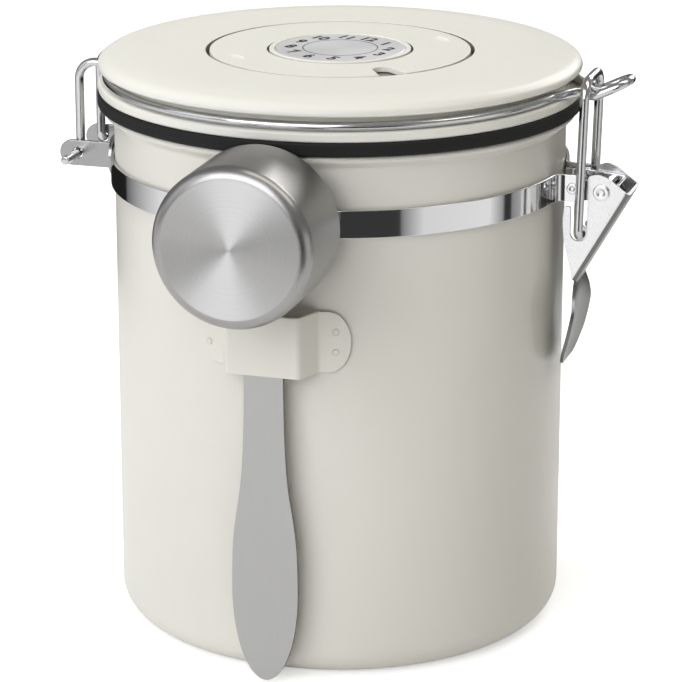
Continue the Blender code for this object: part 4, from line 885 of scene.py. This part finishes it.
# Numbers set round a circle, clockwise from firstDeg, each turned to face outwards or sideways.
def ringOfNumbers(name, numbers, reach, height, firstDeg, stepDeg, z, facing, thickness):
    whole = bmesh.new()
    for k, number in enumerate(numbers):
        mesh = numeralMesh(number, height)
        around = radians(firstDeg - k * stepDeg)
        place = Matrix.Translation((reach * cos(around), reach * sin(around), z))
        mesh.transform(place @ Matrix.Rotation(facing(around), 4, "Z"))
        whole.from_mesh(mesh)
        bpy.data.meshes.remove(mesh)
    bmesh.ops.triangulate(whole, faces=whole.faces)
    piece = linked(name, meshFrom(name, whole))
    wall = piece.modifiers.new("ink", "SOLIDIFY")
    wall.thickness = thickness
    wall.offset = -1
    return applied(piece)


plateSizes = dict(inMetres(radius=17.1, low=153.85, high=154.33, numeralReach=13.1, numeralHeight=3.6, circle=9.9,
                           halfLine=0.12, ink=0.03, sunk=0.02), twelveDeg=69.0, bends=(0, 0.15, 0.05, 0))
plateRadius, plateHigh, ink = plateSizes["radius"], plateSizes["high"], plateSizes["ink"]
spunSteel = spunMaterial("dialSteel", (0.93, 0.93, 0.95), 0.60, 0.15, (0, 0, 0), 2)
dial = lathed("dialPlate", [(0, plateHigh), (plateRadius, plateHigh), (plateRadius, plateSizes["low"]),
                            (0, plateSizes["low"])], plateSizes["bends"], 128, 9.0, False)
finishPiece(dial, spunSteel, "knob", "brushed_steel", "dial_plate")

upright = radians(plateSizes["twelveDeg"] - 90)
monthMarks = ringOfNumbers("monthNumbers", ["12"] + [str(k) for k in range(1, 12)], plateSizes["numeralReach"],
                           plateSizes["numeralHeight"], plateSizes["twelveDeg"], 30.0, plateHigh + ink,
                           lambda around: upright, ink)
finishPiece(monthMarks, blackInk, "knob", "black_silicone")
circle, line = plateSizes["circle"], plateSizes["halfLine"]
innerRing = squareRing("dialCircle", circle + line, circle - line, plateHigh - plateSizes["sunk"], plateHigh + ink,
                       128)
finishPiece(innerRing, blackInk, "knob", "black_silicone")

cardSizes = dict(inMetres(outer=34.6, inner=24.0, low=152.1, high=152.45), steps=160)
daySizes = inMetres(reach=30.7, height=3.3)
shownDay, days = 18, 31
finishPiece(squareRing("dayCard", **cardSizes), greyCard, "lid", "grey_card", "day_card")
dayMarks = ringOfNumbers("dayNumbers", [str(1 + (shownDay - 1 + k) % days) for k in range(days)],
                         daySizes["reach"], daySizes["height"], wheelSizes["windowDeg"], 360 / days,
                         cardSizes["high"] + ink, lambda around: around - pi / 2, ink)
finishPiece(dayMarks, blackInk, "lid", "black_silicone")
print("dial made")


# Scoop and its holder

clipSizes = dict(inMetres(z=91.9, height=16.0, thickness=0.8, radius=60.3, endRound=5.4, footHalf=12.3,
                          pocketHalf=9.05, bridgeY=66.45, bend=1.0, edge=0.22, weldX=16.8, weldDrop=2.65, weld=0.95),
                 lobeDeg=19.6, footGapDeg=1.2, tipShare=0.05,
                 weldProfile=((0, 0.03), (0.62, 0.03), (0.8, 0.24), (1, -0.1)), weldBends=(0, 0.1, 0.08, 0))


# A strip seen from above: lobe, step out, bridge, step in, lobe, with its height drawn in round its ends. Its
# welds are rings pressed into it: shares of their radius, by heights.
def buildClip(z, height, thickness, radius, endRound, footHalf, pocketHalf, bridgeY, bend, edge, weldX, weldDrop,
              weld, lobeDeg, footGapDeg, tipShare, weldProfile, weldBends):
    middle = radius + thickness / 2
    footDeg = degrees(asin(footHalf / middle))
    endX = middle * sin(radians(lobeDeg))
    x = endX * np.sin(np.linspace(-pi / 2, 0, 80)[1:])
    x = x[x < -middle * sin(radians(footDeg + footGapDeg))]
    lobe = np.column_stack([x, -np.sqrt(middle ** 2 - x ** 2)])
    foot = [(-footHalf, -middle * cos(radians(footDeg))),
            (-(pocketHalf + thickness / 2), -(bridgeY + thickness / 2))]
    half = np.concatenate([lobe, foot])
    radii = [0] * len(lobe) + [bend * 1.5, bend]
    plan = rounded(np.concatenate([half, (half * (-1, 1))[::-1]]), radii + radii[::-1], stepDeg=8.0)
    over = np.clip(np.abs(plan[:, 0]) / endRound - endX / endRound + 1, 0, 1)
    heights = np.sqrt(np.clip(1 - over ** 2, tipShare ** 2, None))
    pieces = [bentStrip("scoopClip", plan, z, stripSection(thickness, height, edge), heights)]
    face = radius + thickness
    profile = rounded(np.array(weldProfile) * (weld, mm), np.array(weldBends) * mm)
    for sideways in (-1, 1):
        for up in (-1, 1):
            ring = turned(f"weld{sideways}{up}", profile, 32, closed=False)
            ring.matrix_world = (Matrix.Rotation(asin(sideways * weldX / face), 4, "Z")
                                 @ Matrix.Translation((0, -face, z + up * weldDrop))
                                 @ Matrix.Rotation(radians(90), 4, "X"))
            pieces.append(ring)
    return merged("scoopClip", pieces)


# The lobes' cut edges and the weld rings' slopes, painted darker as shade.
def clipEdge(middle, normal, steepest=0.55, footGap=0.5 * mm):
    outwards = unit(middle * (1, 1, 0))
    steep = np.abs((normal * outwards).sum(axis=1)) < steepest
    return steep & (np.abs(middle[:, 0]) > clipSizes["footHalf"] + footGap)


clip = finishPiece(buildClip(**clipSizes), creamPaint, "can", "cream_paint", "scoop_clip")
# Painted shade on the clip's cut edges and weld slopes.
facesBy(clip, paintedEdgeShade, clipEdge)

cupSizes = inMetres(mouthY=66.8, z=123.4, depth=25.0, radius=20.5, wall=0.8, edge=3.3)


# The bowl of the scoop, its axis towards the viewer: flat base, tight round edge, straight wall.
def buildCup(mouthY, z, depth, radius, wall, edge):
    flat = radius - edge
    outer = arcPoints((flat, depth - edge), edge, 90, 0, 14)
    lip = arcPoints((radius - wall / 2, wall / 2), wall / 2, 0, -180, 8)
    inner = arcPoints((flat, depth - edge), edge - wall, 0, 90, 12)
    profile = np.concatenate([spoke(flat, depth, 13), outer, lip, inner, spoke(flat, depth - wall, 13)[::-1]])
    return turned("scoopCup", profile, 192, (0, -mouthY, z), "Y", closed=False)


cupMiddle = (0, -cupSizes["mouthY"], cupSizes["z"])
baseSteel = spunMaterial("cupBaseSteel", (0.55, 0.545, 0.535), 0.50, 0.90, cupMiddle, 1)
# The wall and its round edge take a darker copy of the base's steel, as painted shade.
shadedWallSteel = spunMaterial("cupWallShadedSteel", (0.37, 0.362, 0.356), 0.29, 0.6, cupMiddle, 1)
cup = finishPiece(buildCup(**cupSizes), baseSteel, "scoop", "brushed_steel", "scoop_cup")
wallFrom = cupSizes["radius"] - cupSizes["edge"] * 0.85  # the round edge's start still counts as base
# Painted shade: the wall's faces take the darker steel.
facesBy(cup, shadedWallSteel, lambda middle, normal: np.hypot(middle[:, 0], middle[:, 2] - cupSizes["z"]) > wallFrom)

handleSizes = dict(inMetres(top=102.5, low=1.0, inner=64.9, thickness=1.2, tabEnd=77.0, bend=1.3, beforeBend=0.2,
                            edge=0.3), edgeShare=0.02,
                   halfWidths=((101.3, 5.15), (81, 5.25), (68.9, 5.5), (60.7, 5.85), (52.6, 6.6), (47.2, 7.45),
                               (39.1, 8.5), (31, 8.85), (25.6, 8.9)))


# A flat blade whose width follows its length and ends in half an ellipse, its top turned out under the cup.
def buildHandle(top, low, inner, thickness, tabEnd, bend, beforeBend, edge, edgeShare, halfWidths):
    t = thickness / 2
    y, tabZ = -(inner + t), top - t
    table = np.array(halfWidths)[::-1] * mm
    belly = table[0, 0]
    tip = low + (belly - low) * (1 - np.cos(np.linspace(0.03, pi / 2, 48)))
    z = np.concatenate([tip, np.linspace(belly, tabZ - bend - beforeBend, 90)[1:]])
    blade = np.column_stack([np.zeros(len(z)), np.full(len(z), y), z])
    fold = rounded([blade[-1], (0, y, tabZ), (0, -tabEnd, tabZ)], [0, bend, 0], stepDeg=8.0)
    path = np.concatenate([blade[:-1], fold])
    fall = np.clip((belly - path[:, 2]) / (belly - low), 0, 1)
    widths = smoothRead(np.maximum(path[:, 2], belly), table[:, 0], table[:, 1]) * np.sqrt(1 - fall ** 2)
    across = np.broadcast_to([1.0, 0, 0], path.shape)
    section = []
    for k, (s, u) in enumerate(((1, -1), (1, 1), (-1, 1), (-1, -1))):
        turn = np.radians(np.arange(4) * 30 + 90 * (k - 1))
        section.append(np.column_stack([np.cos(turn) * edgeShare + (1 - edgeShare) * s,
                                        np.sin(turn) * edge + (t - edge) * u]))
    return swept("scoopHandle", path, across, np.cross(tangents(path), across), np.concatenate(section), widths)


handle = finishPiece(buildHandle(**handleSizes), handleSteel, "scoop", "satin_steel", "scoop_handle")
facesBy(handle, latchSteel, lambda middle, normal: np.abs(normal[:, 0]) > 0.5)  # its edge faces take the dark satin steel, as painted shade
print("scoop made")


# Valve under the lid, kept from the frame

for node, material in (("valve_seat", ivoryPlastic), ("valve_cap", ivoryPlastic), ("valve_disc", paleSilicone),
                       ("valve_filter", greyFelt)):
    nodes[node].data.materials.clear()
    nodes[node].data.materials.append(material)


# Floor, light and camera

# Feeds a socket the sum over kinds of ray of (1 for that kind, else 0) times its strength, a number or a socket.
def byRay(tree, target, **strengths):
    rays = addNode(tree, "LightPath")
    total = 0.0
    for kind, strength in strengths.items():
        total = compute(tree, "Math", "MULTIPLY_ADD", rays.outputs[f"Is {kind} Ray"], strength,
                        total).outputs["Value"]
    feed(tree, total, target)


# A pale floor that brightens itself where it is seen or mirrored, more so far from the lights, to read as white.
def buildFloor(size=6.0, drop=0.02 * mm, near=0.4, far=1.6, seen=0.48, farSeen=1.0, mirrored=0.15):
    corners = np.array([(-size, -size, -drop), (size, -size, -drop), (size, size, -drop), (-size, size, -drop)])
    floor = addMesh("floor", corners, np.array([[0, 1, 2, 3]]), weld=False)
    material, tree, shader = newMaterial("paleFloor", (0.86, 0.86, 0.855), 0.65, Emission_Color=(1, 1, 1, 1))
    reach = compute(tree, "VectorMath", "LENGTH", objectPlace(tree))
    white = addNode(tree, "MapRange", Value=reach.outputs["Value"], From_Min=near, From_Max=far, To_Min=seen,
                    To_Max=farSeen).outputs["Result"]
    byRay(tree, shader.inputs["Emission Strength"], Camera=white, Transmission=white, Glossy=mirrored)
    floor.data.materials.append(material)


# A white room: plain white where it is seen, dimmer as a light and in mirrored metal.
def buildWorld(seen=1.0, mirrored=0.28, lighting=0.02):
    world = bpy.data.worlds.new("studio")
    bpy.context.scene.world = world
    world.use_nodes = True
    back = feedNamed(world.node_tree, world.node_tree.nodes["Background"], dict(Color=(1, 1, 1, 1)))
    byRay(world.node_tree, back.inputs["Strength"], Camera=seen, Transmission=seen, Glossy=mirrored,
          Diffuse=lighting)


def areaLight(name, place, aim, width, height, power, colour=(1, 1, 1)):
    light = bpy.data.lights.new(name, "AREA")
    light.shape = "RECTANGLE"
    light.size = width
    light.size_y = height
    light.energy = power
    light.color = colour
    holder = linked(name, light)
    holder.location = place
    holder.rotation_euler = (Vector(aim) - Vector(place)).to_track_quat("-Z", "Y").to_euler()
    return holder


# A studio card, curved round the object: (r sin a, -r cos a, z). It only shows in mirrored metal, and its
# brightness runs evenly from one end to the other.
def buildCard(name, fromDeg, toDeg, fromShade, toShade, reach=0.33, low=0.0, high=0.16, columns=17):
    angle = np.radians(np.linspace(fromDeg, toDeg, columns))
    wall = np.stack([reach * np.sin(angle), -reach * np.cos(angle)], axis=1)
    grid = np.stack([np.column_stack([wall, np.full(columns, z)]) for z in (low, high)])
    quads = gridFaces(2, columns, False)
    along = np.stack([(quads % columns) / (columns - 1), quads // columns], axis=-1)
    card = addMesh(name, grid.reshape(-1, 3), quads, along, weld=False)
    material, tree, shader = newMaterial(name, (0, 0, 0), 1.0, Emission_Color=(1, 1, 1, 1), Specular_IOR_Level=0)
    split = addNode(tree, "SeparateXYZ", Vector=addNode(tree, "TexCoord").outputs["UV"])
    feed(tree, spread(tree, split.outputs["X"], fromShade, toShade), shader.inputs["Emission Strength"])
    card.data.materials.append(material)
    card.visible_camera = card.visible_diffuse = card.visible_shadow = card.visible_transmission = False


cameraSizes = dict(distance=0.799, height=0.3256, azimuthDeg=17.0, pitchDeg=16.64, focalPixels=3082.6,
                   middleX=340.2, middleY=292.4, imageWidth=679, imageHeight=682, sensor=36.0)


# The photograph's view: the camera's place round the can, its downward pitch and its small shift.
def buildCamera(distance, height, azimuthDeg, pitchDeg, focalPixels, middleX, middleY, imageWidth, imageHeight,
                sensor):
    camera = bpy.data.cameras.new("camera")
    camera.sensor_fit = "AUTO"
    camera.sensor_width = sensor
    longest = max(imageWidth, imageHeight)
    camera.lens = focalPixels * sensor / longest
    camera.shift_x = (imageWidth / 2 - middleX) / longest
    camera.shift_y = (middleY - imageHeight / 2) / longest
    holder = linked("camera", camera)
    around = radians(azimuthDeg)
    holder.location = (distance * sin(around), -distance * cos(around), height)
    holder.rotation_euler = (radians(90 - pitchDeg), 0, around)
    bpy.context.scene.camera = holder


buildFloor()
buildWorld()
areaLight("fillLeft", (-0.84, -0.54, 0.55), (0, 0, 0.07), 0.5, 0.8, 1.1, (0.97, 0.985, 1.05))
areaLight("keyFront", (-0.19, -0.98, 0.60), (0, 0, 0.07), 1.0, 0.8, 8.3, (0.985, 0.99, 1.03))
areaLight("topSoft", (0.38, -0.05, 0.95), (0, 0, 0.13), 0.32, 1.0, 2.6, (1.0, 0.96, 0.86))
areaLight("topLeft", (-0.55, 0.15, 0.85), (0, 0, 0.13), 0.35, 0.8, 4.8).visible_glossy = False
areaLight("rimBack", (0.34, 0.92, 0.63), (0, 0, 0.1), 0.6, 0.6, 4.8)
for card in (("cardFront", 12, 44, 0.045, 0.045), ("cardFade", 44, 54, 0.24, 0.80),
             ("cardPale", 54, 90, 0.85, 0.95), ("cardDim", 90, 98, 0.85, 0.32),
             ("cardStreakA", 98, 103, 0.03, 0.03), ("cardGrey", 103, 110, 0.30, 0.45),
             ("cardStreakB", 112, 114, 0.02, 0.02), ("cardStreakC", 118, 120, 0.02, 0.02),
             ("cardBack", 132, 222, 0.04, 0.04), ("cardEdge", -138, -107, 0.015, 0.015),
             ("cardLeft", -107, -75, 0.14, 0.92), ("cardSide", -75, -62, 0.92, 0.92)):
    buildCard(*card)
buildCamera(**cameraSizes)
bpy.context.scene.view_settings.view_transform = "Standard"
print("floor, light and camera made")
